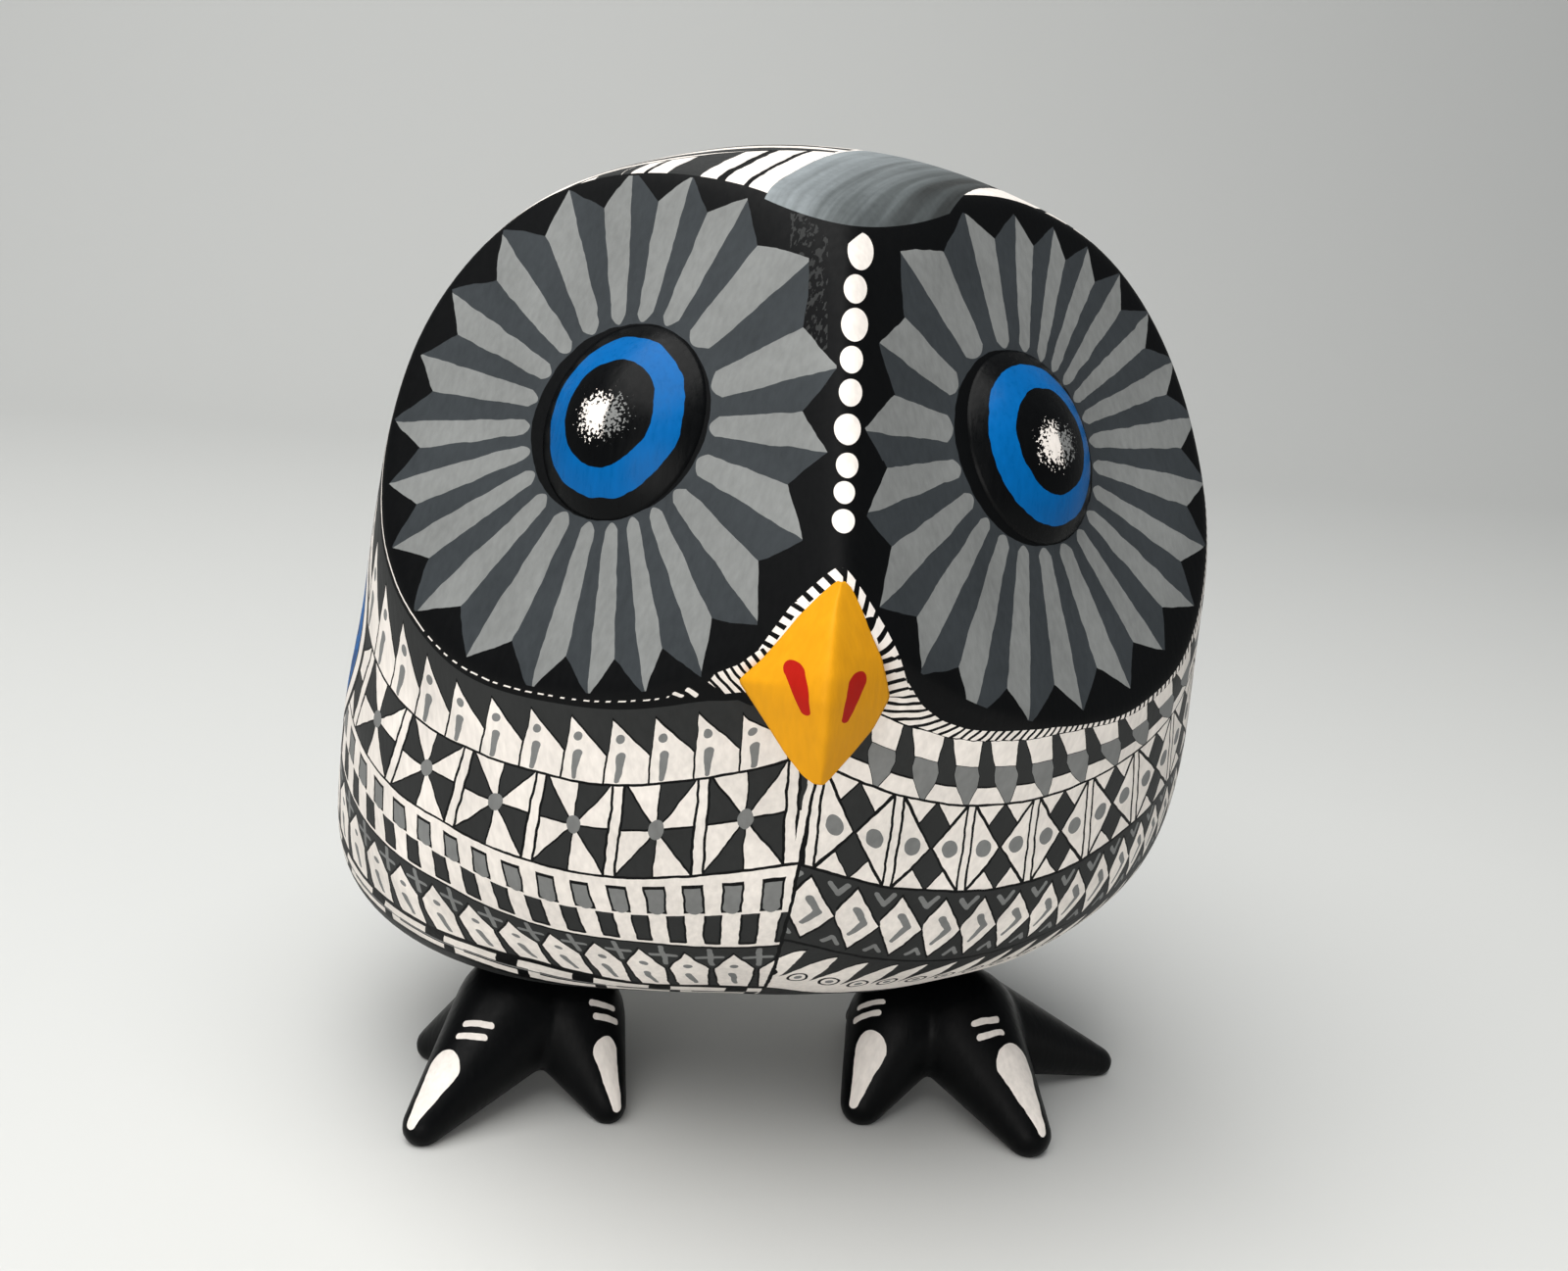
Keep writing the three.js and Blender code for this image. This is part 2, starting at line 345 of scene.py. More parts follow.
RIGHT_LINES = [
    [(0, 0), (9, 0), (12.9, 3), (14.1, 4), (17.3, 4.6), (21.6, 4.1), (26.9, 2.8), (32.4, 1.4), (37.8, 0.3),
     (80, 0.1)],
    [(0, 9.6), (6.5, 8.3), (11.5, 7.7), (14.4, 7.0), (17.3, 6.6), (20.9, 5.7), (26.8, 4.1), (32.2, 2.8),
     (37.6, 1.3), (42.8, 0.8), (70, 0.7)],
    [(0, 18.8), (11.2, 17.9), (21.1, 15.8), (31.1, 13.0), (40.2, 10.1), (50.2, 7.7), (58, 6.8), (70, 6.4)],
    [(0, 34.5), (10.1, 33.3), (19.4, 30.6), (30, 26.9), (39.4, 23.2), (48, 20.4), (56, 19), (70, 18)],
    [(0, 49.1), (9.7, 48.4), (19.9, 45.6), (29.9, 41.1), (39.8, 36.5), (48, 32.3), (60, 30), (75, 29)],
    [(0, 65.2), (9.8, 64.3), (18, 60), (27, 54), (40, 46.5), (55, 42), (75, 41)],
]
# The strip that is counted below the last line, and the millimetres that a unit of a UV map stands for.
LAST_STRIP = 40.0
MAP_UNIT = 100.0


def band_count(lines):
    """How many bands lie above each point, and how far it is below the first line."""
    heights = []
    for line in lines:
        places, drops = np.array(line).T
        heights.append(np.interp(around, places, drops))
    heights = np.stack(heights + [heights[-1] + LAST_STRIP])
    columns = [
        np.interp(down[:, column], heights[:, column], np.arange(len(heights)))
        for column in range(len(turns))
    ]
    return np.stack(columns, axis=1), (down - heights[0]) / MAP_UNIT


left_bands = band_count(LEFT_LINES)
right_bands = band_count(RIGHT_LINES)
print("bands on the left reach", round(float(left_bands[0].max()), 1))

# %% [markdown]
# ## Cutting the skin into pieces
#
# A single mesh would do for the render, but paint this fine needs room when it is baked, so the
# skin is parted along grid lines into face, breast, crown and back pieces. Each is closed by a fan of
# plain faces to the middle of the block, where bare wood would be. The normals come from the whole
# skin, so no seam shows where two pieces meet.

# %% Making a piece from part of the grid
def to_frame(places):
    """From the carving's millimetres to the frame's metres."""
    return (np.asarray(places) - FOOTPRINT_MIDDLE) * MM


def new_object(name, vertices, faces, materials, slots=None):
    """A piece that rides the owl's one body and stands for its solid, with its mesh in the frame."""
    mesh = bpy.data.meshes.new(name)
    mesh.from_pydata(to_frame(vertices).tolist(), [], faces)
    made = bpy.data.objects.new(name, mesh)
    bpy.context.scene.collection.objects.link(made)
    for material in materials:
        mesh.materials.append(material)
    if slots is not None:
        mesh.polygons.foreach_set("material_index", slots)
    mesh.polygons.foreach_set("use_smooth", [True] * len(mesh.polygons))
    mesh.validate()
    mesh.update()
    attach(made, "root")
    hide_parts("owl")
    print(name, len(mesh.vertices), "points,", len(mesh.polygons), "faces")
    return made


def grid_piece(name, rows, columns, materials, maps):
    """Part of the grid, closed by a fan to the middle. A row at a pole is a single point."""
    first, last = rows
    start, stop = columns
    height, width = last - first + 1, stop - start + 1
    index = np.arange(height * width).reshape(height, width)
    if first == 0:
        index[0] = index[0, 0]
    if last == len(tilts) - 1:
        index[-1] = index[-1, 0]
    a, b = index[:-1, :-1].ravel(), index[:-1, 1:].ravel()
    c, d = index[1:, 1:].ravel(), index[1:, :-1].ravel()
    skin = [tuple(dict.fromkeys(corners)) for corners in zip(a.tolist(), b.tolist(), c.tolist(), d.tolist())]
    edge = np.concatenate([index[:, 0], index[-1, 1:], index[::-1, -1][1:], index[0, ::-1][1:]])
    edge = edge[np.insert(np.diff(edge) != 0, 0, True)]
    centre = height * width
    fan = [(int(u), int(v), centre) for u, v in zip(edge[:-1], edge[1:]) if u != v]
    used = np.unique(np.concatenate([index.ravel(), [centre]]))
    renumber = np.zeros(centre + 1, dtype=int)
    renumber[used] = np.arange(len(used))
    block = (slice(first, last + 1), slice(start, stop + 1))
    places = np.vstack([points[block].reshape(-1, 3), MIDDLE_OF_GRID])[used]
    faces = [tuple(int(renumber[v]) for v in face) for face in skin + fan]
    slots = [0] * len(skin) + [1] * len(fan)
    piece = new_object(name, places, faces, materials, slots)
    mesh = piece.data
    corners = np.zeros(len(mesh.loops), dtype=int)
    mesh.loops.foreach_get("vertex_index", corners)
    skin_corners = sum(len(face) for face in skin)
    source = used[corners]
    for map_name, (across, upward) in maps.items():
        layer = mesh.uv_layers.new(name=map_name)
        flat = np.stack([across[block].ravel(), upward[block].ravel()], axis=1)
        flat = np.vstack([flat, flat.mean(axis=0)])
        layer.data.foreach_set("uv", flat[source].ravel())
    smooth = np.vstack([normals[block].reshape(-1, 3), [0, 0, 0]])[source]
    smooth[skin_corners:] = 0
    mesh.normals_split_custom_set(smooth.tolist())
    return piece


# %% [markdown]
# ## Paint as arithmetic
#
# Every figure on the owl is drawn by its own small formula: a half plane, a disc, a brush stroke. In
# Blender such formulas are chains of Math nodes. To keep them readable, a small class wraps the
# output of a node and gives it Python's operators, so that a line of arithmetic here becomes a line
# of nodes in the material.

# %% Wires
class Wire:
    """The output of a node. Arithmetic with it adds Math nodes, and a comparison gives 0 or 1."""

    def __init__(self, pot, socket):
        self.pot = pot
        self.socket = socket

    def math(self, operation, *others):
        """One Math node, which takes this wire first and then the others."""
        values = dict(enumerate((self, *others)))
        return self.pot.node("Math", {"operation": operation}, values)

    def __add__(self, other):
        return self.math("ADD", other)

    __radd__ = __add__

    def __sub__(self, other):
        return self.math("SUBTRACT", other)

    def __rsub__(self, other):
        return self.pot.node("Math", {"operation": "SUBTRACT"}, {0: other, 1: self})

    def __mul__(self, other):
        return self.math("MULTIPLY", other)

    __rmul__ = __mul__

    def __truediv__(self, other):
        return self.math("DIVIDE", other)

    def __lt__(self, other):
        return self.math("LESS_THAN", other)

    def __gt__(self, other):
        return self.math("GREATER_THAN", other)

    def __and__(self, other):
        return self.math("MULTIPLY", other)

    def __or__(self, other):
        return self.math("MAXIMUM", other)

    def __abs__(self):
        return self.math("ABSOLUTE")

    def scaled(self, factor, offset):
        """self times factor, plus offset, in one node."""
        return self.math("MULTIPLY_ADD", factor, offset)

    def whole(self):
        """The whole number at or below."""
        return self.math("FLOOR")

    def part(self):
        """What is left above that whole number, so that a length repeats from 0 to 1."""
        return self.math("FRACT")

    def smallest(self, other):
        """The smaller of two."""
        return self.math("MINIMUM", other)

    def limited(self, low, high):
        """Held between a low and a high limit."""
        return self.math("MAXIMUM", low).math("MINIMUM", high)


print("a wire knows", sum(callable(part) for part in vars(Wire).values()), "operations")

# %% [markdown]
# ## A pot of paint
#
# A second class holds one material. It adds a node from its type, its settings and the values of its
# sockets, so that hardly any other line has to touch the node tree. It also knows the few sums on
# vectors that drawing needs: where a point is, how far from another, and how far along a direction.

# %% Pots
class Pot:
    """A pot of paint: one material, and the nodes that mix it."""

    def __init__(self, name):
        self.material = bpy.data.materials.new(name)
        self.material.use_nodes = True
        self.tree = self.material.node_tree
        self.shader = self.tree.nodes["Principled BSDF"]

    def node(self, kind, settings=None, inputs=None, output=0):
        """Adds a node, sets it up, feeds its sockets by name or number, and wraps one output."""
        made = self.tree.nodes.new("ShaderNode" + kind)
        for name, value in (settings or {}).items():
            if name == "stops":
                self.set_stops(made.color_ramp, value)
            else:
                setattr(made, name, value)
        for name, value in (inputs or {}).items():
            self.feed(made.inputs[name], value)
        return Wire(self, made.outputs[output])

    def set_stops(self, ramp, stops):
        """The stops of a ramp, from a list of places and colours."""
        while len(ramp.elements) < len(stops):
            ramp.elements.new(1.0)
        for element, (place, colour) in zip(ramp.elements, stops):
            element.position = place
            element.color = (*colour, 1.0)

    def feed(self, socket, value):
        """Links a wire to a socket, or sets the socket to a fixed value."""
        if isinstance(value, Wire):
            self.tree.links.new(value.socket, socket)
        elif socket.type == "RGBA":
            socket.default_value = (*value, 1.0)
        else:
            socket.default_value = value

    def place(self):
        """Where the point is, in the carving's millimetres."""
        metres = self.node("TexCoord", output="Object")
        return self.node("VectorMath", {"operation": "MULTIPLY_ADD"},
                         {0: metres, 1: (1000, 1000, 1000), 2: tuple(FOOTPRINT_MIDDLE)})

    def map(self, name):
        """The two numbers of a UV map."""
        found = self.node("UVMap", {"uv_map": name}, output="UV")
        return self.split(found)[:2]

    def lengths(self, name):
        """The two numbers of a UV map that holds lengths, in millimetres."""
        return [value * MAP_UNIT for value in self.map(name)]

    def split(self, vector):
        """The three numbers of a vector."""
        parts = self.tree.nodes.new("ShaderNodeSeparateXYZ")
        self.feed(parts.inputs[0], vector)
        return [Wire(self, output) for output in parts.outputs]

    def join(self, x, y, z=0.0):
        """A vector from its numbers."""
        return self.node("CombineXYZ", None, {0: x, 1: y, 2: z})

    def dot(self, vector, fixed):
        """How far a vector reaches along a fixed direction."""
        return self.node("VectorMath", {"operation": "DOT_PRODUCT"}, {0: vector, 1: tuple(fixed)}, "Value")

    def minus(self, vector, fixed):
        """The vector from a fixed point."""
        return self.node("VectorMath", {"operation": "SUBTRACT"}, {0: vector, 1: tuple(fixed)})

    def gap(self, vector, fixed):
        """The distance from a fixed point."""
        return self.node("VectorMath", {"operation": "DISTANCE"}, {0: vector, 1: tuple(fixed)}, "Value")

    def noise(self, vector, scale, detail=2.0, stretch=(1, 1, 1)):
        """Soft blotches from 0 to 1, longer along an axis whose stretch is below 1."""
        scaled = self.node("VectorMath", {"operation": "MULTIPLY"}, {0: vector, 1: tuple(stretch)})
        return self.node("TexNoise", None, {"Vector": scaled, "Scale": scale, "Detail": detail}, "Fac")

    def chance(self, number):
        """A steady random number from 0 to 1 for each whole number."""
        return self.node("TexWhiteNoise", {"noise_dimensions": "1D"}, {"W": number}, "Value")

    def over(self, below, mask, tone):
        """tone where mask is 1, and what was below elsewhere."""
        return self.node("Mix", {"data_type": "FLOAT"}, {0: mask, 2: below, 3: tone})

    def over_colour(self, below, mask, colour):
        """The same for colours."""
        return self.node("Mix", {"data_type": "RGBA"}, {0: mask, 6: below, 7: colour}, 2)


print("a pot knows", sum(callable(part) for part in vars(Pot).values()), "ways to mix")

# %% [markdown]
# ## Strokes, discs and plain shapes
#
# The painter uses three marks: a stroke with round ends, a dot, and a shape with straight sides. Each
# is a distance compared with a size. A straight-sided shape is where a point is on the inner side of
# every edge, so the smallest of its distances from the edges also tells how deep inside it is, which
# gives the black outline as a thin layer round the fill.

# %% Marks of the brush
def drawn_from(pot, x, y, start, end):
    """How far a point is from a straight brush stroke, and how far along it."""
    length = math.dist(start, end)
    along_x, along_y = (end[0] - start[0]) / length, (end[1] - start[1]) / length
    offset = -(start[0] * along_x + start[1] * along_y)
    along = x.scaled(along_x, y.scaled(along_y, offset))
    share = (along / length).limited(0.0, 1.0)
    across_x = x - share.scaled(end[0] - start[0], start[0])
    across_y = y - share.scaled(end[1] - start[1], start[1])
    away = (across_x * across_x + across_y * across_y).math("SQRT")
    return away, share


def stroke(pot, x, y, start, end, width, end_width=None):
    """A stroke with round ends, which may narrow from one end to the other."""
    away, share = drawn_from(pot, x, y, start, end)
    if end_width is None:
        return away < width / 2
    return away < share.scaled((end_width - width) / 2, width / 2)


def strokes(pot, x, y, *marks):
    """Several strokes at once: a start, an end and one or two widths for each."""
    drawn = None
    for mark in marks:
        one = stroke(pot, x, y, *mark)
        drawn = one if drawn is None else drawn | one
    return drawn


def disc(pot, x, y, middle, radius):
    """A round dot."""
    return pot.gap(pot.join(x, y), (*middle, 0)) < radius


def depth_inside(pot, x, y, corners):
    """How deep a point is inside a convex outline whose corners go round against the clock."""
    depth = None
    for (x0, y0), (x1, y1) in zip(corners, corners[1:] + corners[:1]):
        length = math.hypot(x1 - x0, y1 - y0)
        normal = ((y0 - y1) / length, (x1 - x0) / length)
        offset = -(x0 * normal[0] + y0 * normal[1])
        side = x.scaled(normal[0], y.scaled(normal[1], offset))
        depth = side if depth is None else depth.smallest(side)
    return depth


def from_middle(run, width, middle):
    """Millimetres to the right of the middle of a cell, in a row of cells with one middle as given."""
    return run.scaled(1 / width, 0.5 - middle / width).part().scaled(width, -width / 2)


def outlined(pot, tone, depth, line, inner, colour):
    """A black shape that reaches a little past the outline, with the colour a little inside it."""
    tone = pot.over(tone, depth > -line, INK)
    return pot.over(tone, depth > inner, colour)


print("marks: stroke, disc, straight-sided shape")

# %% [markdown]
# ## The colours
#
# The owl wears few colours: an ink black for outlines, a soft charcoal, a few greys, a warm white
# and two blues. The yellows and the red of the beak come later. A material first works out which of
# them lies at a point, as a whole number, and one ramp with hard steps turns the number into paint.
# The brush leaves a little more or less of it, so the colour and the gloss also waver a little.

# %% Colours and finish
def linear(red, green, blue):
    """Screen values from 0 to 255 as the light values that a shader takes."""
    return tuple(
        part / 12.92 if part <= 0.04045 else ((part + 0.055) / 1.055) ** 2.4
        for part in (red / 255, green / 255, blue / 255)
    )


INK, CHARCOAL, GREY, WHITE, BLUE, DEEP_BLUE, PALE_PETAL, DARK_PETAL = range(8)
PALETTE = [
    linear(7, 8, 9),
    linear(46, 47, 47),
    linear(124, 125, 124),
    linear(236, 229, 222),
    linear(0, 90, 156),
    linear(0, 56, 112),
    linear(124, 126, 125),
    linear(54, 58, 61),
]
SHEEN = 0.08
ROUGHNESS = 0.5
RELIEF_STRENGTH, RELIEF = 0.25, 0.2 * MM


def brushed(pot, colour, shade, height, roughness):
    """Feeds the shader: the colour made lighter or darker by a share, and low marks of the brush."""
    shaded = pot.node("HueSaturation", None, {"Value": shade + 1.0, "Color": colour})
    pot.feed(pot.shader.inputs["Base Color"], shaded)
    pot.feed(pot.shader.inputs["Roughness"], roughness)
    relief = {"Height": height, "Strength": RELIEF_STRENGTH, "Distance": RELIEF}
    pot.feed(pot.shader.inputs["Normal"], pot.node("Bump", None, relief, "Normal"))
    pot.shader.inputs["Specular IOR Level"].default_value = SHEEN
    return pot.material


def finish(pot, tone, place, roughness=ROUGHNESS, patch=None):
    """Turns a tone number into colour, with the wavering of brush and grain. A patch goes on top."""
    stops = [(0.0, PALETTE[0])]
    stops += [((number - 0.5) / len(PALETTE), colour) for number, colour in enumerate(PALETTE) if number]
    ramp = pot.node("ValToRGB", {"stops": stops}, {"Fac": tone / len(PALETTE)})
    ramp.socket.node.color_ramp.interpolation = "CONSTANT"
    if patch is not None:
        ramp = pot.over_colour(ramp, *patch)
    patches = pot.noise(place, 0.11, 3.0)
    bristles = pot.noise(place, 1.6, 2.0, (1, 1, 0.25))
    shade = (patches - 0.5) * 0.5 + (bristles - 0.5) * 0.35
    height = bristles * 0.6 + patches * 0.4
    return brushed(pot, ramp, shade, height, (bristles - 0.5) * 0.25 + roughness)


SHAKE, SHAKE_SCALE = 0.16, 0.35


def wavering(pot, x, y, place, size=SHAKE):
    """x and y shaken a little, as by a hand that draws a line."""
    shake = pot.node("TexNoise", None, {"Vector": place, "Scale": SHAKE_SCALE, "Detail": 2.0}, "Color")
    dx, dy, _ = pot.split(shake)
    return x + (dx - 0.5) * (4 * size), y + (dy - 0.5) * (4 * size)


print("tones:", len(PALETTE))

# %% [markdown]
# ## The grey patch and the bare wood
#
# The streaky patch on the crown also laps over the top of the face, in the shape of a saddle, so the
# face and the crown share its formula. It is the only place where greys run into each other, and so
# it has a ramp of its own. The hidden inner sides of the pieces stay plain wood.

# %% Patch and wood
CROWN_SLOPE, CROWN_FRONT = 0.65, -45.0
PATCH_LEFT, PATCH_RIGHT = -8.0, 10.2
PATCH_GREYS = [(0.0, linear(50, 52, 52)), (0.35, linear(82, 87, 88)), (0.62, linear(112, 118, 120)),
               (1.0, linear(140, 147, 150))]
SADDLE_X, SADDLE_Z, SADDLE_RISE, SADDLE_BACK = 2.2, 110.9, 0.017, -30.0


def across_crown(x, y):
    """Millimetres across the crown from a slanting line that starts in front at the middle."""
    return x - y.scaled(CROWN_SLOPE, -CROWN_SLOPE * CROWN_FRONT)


def crown_patch(pot, place):
    """The streaky grey patch on the crown: where it lies, and its grey there, darker to the right."""
    x, y, z = pot.split(place)
    across = across_crown(x, y)
    aside = x - SADDLE_X
    above = (z > (aside * aside).scaled(SADDLE_RISE, SADDLE_Z)) | (y > SADDLE_BACK)
    inside = (across > PATCH_LEFT) & (across < PATCH_RIGHT) & above
    streaks = pot.noise(pot.join(across, y), 0.45, 3.0, (1, 0.07, 1))
    light = (across.scaled(-1 / 19.0, 0.58) + (streaks - 0.5) * 1.2).limited(0.0, 1.0)
    return inside, pot.node("ValToRGB", {"stops": PATCH_GREYS}, {"Fac": light})


def plain_wood():
    """Pale dry wood without paint."""
    pot = Pot("bare_wood")
    pot.shader.inputs["Base Color"].default_value = (0.5, 0.36, 0.22, 1)
    pot.shader.inputs["Roughness"].default_value = 0.8
    return pot.material


bare_wood = plain_wood()
print("patch greys:", len(PATCH_GREYS))

# %% [markdown]
# ## The edging of the beak
#
# A white edging follows the upper edge of the beak, with short black ticks that come in from its
# outer side. On the right they lean most at the top. They stand closer together further down.

# %% Edging
# Places along the upper edge of the beak and the width of the edging there, from the top down.
EDGING = {
    -1: [((-0.4, -71.0, 79.4), 1.55), ((-4.0, -70.6, 75.6), 1.4), ((-7.0, -71.0, 71.0), 1.3),
         ((-9.6, -70.4, 68.8), 1.3), ((-11.5, -69.5, 67.5), 1.1)],
    1: [((-0.4, -71.0, 79.4), 1.6), ((3.2, -71.6, 74.0), 1.95), ((5.0, -71.6, 69.8), 2.3),
        ((5.6, -71.0, 67.8), 2.5), ((6.2, -70.6, 66.4), 2.6)],
}
EDGING_END = {-1: 67.0, 1: 67.4}
# Where the count of ticks starts. A tick keeps clear of the beak, is dark for about half of the pitch,
# and narrows outwards. Its slant is held between limits.
TICK_START, TICK_CLEAR, TICK_SHARE, TICK_TAPER = 0.7, 0.4, 0.48, -0.06
SLANT_LIMITS = (-0.2, 1.1)
TICKS_PER_MM = {-1: 0.7, 1: 0.52}
CLOSER = {-1: 0.012, 1: 0.014}
SLANT = {-1: (0.0, -0.2), 1: (-0.08, 0.85)}


def edging(pot, place, side):
    """A band along several straight runs, and slanting ticks counted along all of them."""
    band, tick, done = None, None, 0.0
    above_end = pot.dot(place, (0, 0, 1)) > EDGING_END[side]
    for (start, width), (end, end_width) in zip(EDGING[side][:-1], EDGING[side][1:]):
        start, end = np.array(start), np.array(end)
        length = float(np.linalg.norm(end - start))
        from_start = pot.minus(place, start)
        run = pot.dot(from_start, (end - start) / length)
        share = (run / length).limited(0.0, 1.0)
        foot = pot.node("VectorMath", {"operation": "SCALE"}, {0: tuple(end - start), "Scale": share})
        away = pot.node("VectorMath", {"operation": "DISTANCE"}, {0: from_start, 1: foot}, "Value")
        near = (away < share.scaled(end_width - width, width)) & above_end
        total = run + done
        slanted = total + away * total.scaled(*SLANT[side]).limited(*SLANT_LIMITS)
        count = slanted * slanted.scaled(CLOSER[side], TICKS_PER_MM[side])
        dark = ((count + TICK_START).part() < away.scaled(TICK_TAPER, TICK_SHARE)) & (away > TICK_CLEAR)
        band = near if band is None else band | near
        tick = near & dark if tick is None else pot.over(tick, near, dark)
        done += length
    return band, tick


print("edging:", {side: len(runs) - 1 for side, runs in EDGING.items()}, "straight runs")

# %% [markdown]
# ## The bands of the left breast
#
# From the rim down: sails with a dot and a drop, pinwheels of eight wedges between white bars,
# a double row of tiles, small gabled houses with crosses between them, and a fret near the
# underside. The upright lines of all but the fret lean a little, more the further they are from the
# seam, as if the owl had been turned while they were drawn. So each band first works out how far
# across its own cell a point is, and then draws one cell.

# %% Sails
# Half the width of a drawn line. For each figure: how far apart its copies are, and where one of them is.
LINE = 0.14
SAIL_PITCH, SAIL_EDGE, SAIL_DROP = 5.77, -28.8, 8.4
SAIL_TALL = 11.5


def sails(pot, u, v, share):
    """A white sail in each cell, its top falling from left to right, with a dot and a drop."""
    lean = u.scaled(-0.003, 0.2)
    cell = (u - lean * (v - SAIL_DROP)).scaled(1 / SAIL_PITCH, -SAIL_EDGE / SAIL_PITCH).part()
    x = cell * SAIL_PITCH
    y = share * SAIL_TALL
    top = cell.scaled(0.5, 0.12)
    upright = x.smallest(SAIL_PITCH - x)
    sail = share > top
    tone = pot.over(CHARCOAL, sail, WHITE)
    tone = pot.over(tone, disc(pot, x, y * 0.85, (1.4, 3.9), 0.6), GREY)
    tone = pot.over(tone, stroke(pot, x, y, (1.8, 7.2), (1.75, 10.9), 1.25, 0.65), GREY)
    return pot.over(tone, (abs(share - top) < 0.016) | ((upright < LINE) & sail), INK)


print("sails every", SAIL_PITCH, "mm")

# %% Pinwheels
WHEEL_PITCH, WHEEL_MIDDLE, WHEEL_TALL, WHEEL_RISE = 10.7, -7.2, 9.2, -4.4
HUB, BAR_INSIDE, BAR = 0.95, 4.45, 4.8
LAST_BAR = -0.95


def pinwheels(pot, u, v, share):
    """Eight wedges by turns dark and white round a grey hub, and a white bar between two wheels."""
    lean = u.scaled(-0.006, 0.1).limited(0.0, 0.28)
    middle = u.scaled(0.24, 27.4).limited(18.6, 27.4)
    x = from_middle(u - lean * (v - middle), WHEEL_PITCH, WHEEL_MIDDLE)
    y = share.scaled(WHEEL_TALL, WHEEL_RISE)
    angle = pot.node("Math", {"operation": "ARCTAN2"}, {0: y * -1.0, 1: x})
    wave = (angle * 4.0).math("SINE")
    reach = (x * x + y * y).math("SQRT")
    tone = pot.over(CHARCOAL, wave > 0.0, WHITE)
    tone = pot.over(tone, (abs(wave) * reach) < 3 * LINE, INK)
    tone = pot.over(tone, reach < HUB, GREY)
    tone = pot.over(tone, abs(x) > BAR_INSIDE, INK)
    return pot.over(tone, (abs(x) > BAR) | (u > LAST_BAR), WHITE)


print("pinwheels every", WHEEL_PITCH, "mm")

# %% Tiles
TILE_PITCH, TILE_MIDDLE, TILE_TALL = 4.32, -2.2, 12.0
FRAME_HALF, TILE_HALF = 1.2, 0.93


def tiles(pot, u, v, share):
    """Grey tiles in black frames above, and dark tiles between them below."""
    lean = u.scaled(-0.018, 0.04).limited(0.0, 0.42)
    y = share * TILE_TALL
    x = abs(from_middle(u - lean * (y - 3.6), TILE_PITCH, TILE_MIDDLE))
    beside = x > FRAME_HALF
    tone = pot.over(WHITE, (x < FRAME_HALF) & (share < 0.5) & (share > 0.12), INK)
    grey = (x < TILE_HALF) & (share > 0.165) & (y < (x * x).scaled(-0.75, 6.2))
    tone = pot.over(tone, grey, GREY)
    below = (share > 0.53) & (share < 0.94)
    tone = pot.over(tone, below & beside, CHARCOAL)
    tone = pot.over(tone, below & (abs(x - FRAME_HALF) < LINE), INK)
    return pot.over(tone, (abs(share - 0.93) < 0.018) & beside, INK)


print("tiles every", TILE_PITCH, "mm")

# %% Houses and fret
HOUSE_PITCH, HOUSE_MIDDLE, HOUSE_TALL = 5.1, 0.7, 12.0
HOUSE = [(-1.9, 12.6), (-2.35, 5.6), (0.0, 1.4), (2.35, 5.6), (1.9, 12.6)]
FRET_PITCH = 9.0


def houses(pot, u, v, share):
    """A white gabled house in each cell, with a dot and a drop, and a grey cross between gables."""
    lean = u.scaled(-0.018, 0.04).limited(0.0, 0.4)
    y = share * HOUSE_TALL
    run = u - lean * (y - 4.0)
    x = from_middle(run, HOUSE_PITCH, HOUSE_MIDDLE)
    between = from_middle(run, HOUSE_PITCH, HOUSE_MIDDLE - HOUSE_PITCH / 2)
    cross = strokes(pot, between, y, ((0.0, 0.6), (0.1, 4.4), 0.62), ((-1.3, 2.5), (1.3, 2.3), 0.6))
    depth = depth_inside(pot, x, y, HOUSE)
    tone = pot.over(CHARCOAL, cross, GREY)
    tone = outlined(pot, tone, depth, LINE, LINE, WHITE)
    tone = pot.over(tone, disc(pot, x, y, (0.0, 5.0), 0.5), GREY)
    drop = stroke(pot, x, y, (-0.2, 7.6), (0.3, 10.6), 0.95, 0.6)
    return pot.over(tone, drop & (depth > 0.25), GREY)


def fret(pot, u, v, share):
    """A squared white meander on black."""
    cell = u.scaled(1 / FRET_PITCH, 0.2).part()
    first = abs(share - 0.3) < 0.16
    second = abs(share - 0.75) < 0.14
    riser = (abs(cell - 0.22) < 0.07) & (share > 0.2) & (share < 0.85)
    tone = pot.over(INK, (first & (cell < 0.72)) | (second & (cell > 0.15)) | riser, WHITE)
    return pot.over(tone, abs(share - 0.52) < 0.03, GREY)


print("houses every", HOUSE_PITCH, "mm, fret every", FRET_PITCH, "mm")

# %% [markdown]
# ## The bands of the right breast
#
# The other half is drawn from different figures: a rope of slanting ticks along the rim, white caps
# with grey pendants, crossed lines with dark lozenges and two dots between double bars, folded white
# tiles with a grey hook under a row of hearts, and fins that end in a scroll.

# %% Rope and pendants
ROPE_BEND = 21.0
PENDANT_PITCH, PENDANT_MIDDLE, PENDANT_TALL, STRIP_TOP = 6.46, 8.4, 9.5, 6.8
CAP = [(-1.7, 4.2), (-2.6, -0.5), (2.6, -0.5), (1.7, 4.2)]
PENDANT = [(-0.3, 9.4), (-1.5, 7.0), (-2.0, 5.2), (-1.75, 3.9),
           (1.75, 3.9), (2.0, 5.2), (1.5, 7.0), (0.3, 9.4)]


def rope(pot, u, v, share):
    """Thin black lines on white: nearly level beside the beak, and leaning ever more further right."""
    near = u.smallest(ROPE_BEND)
    slanted = v + near * near.scaled(0.025, -0.1) + (u - near) * 0.95
    return pot.over(WHITE, slanted.part() < 0.4, INK)


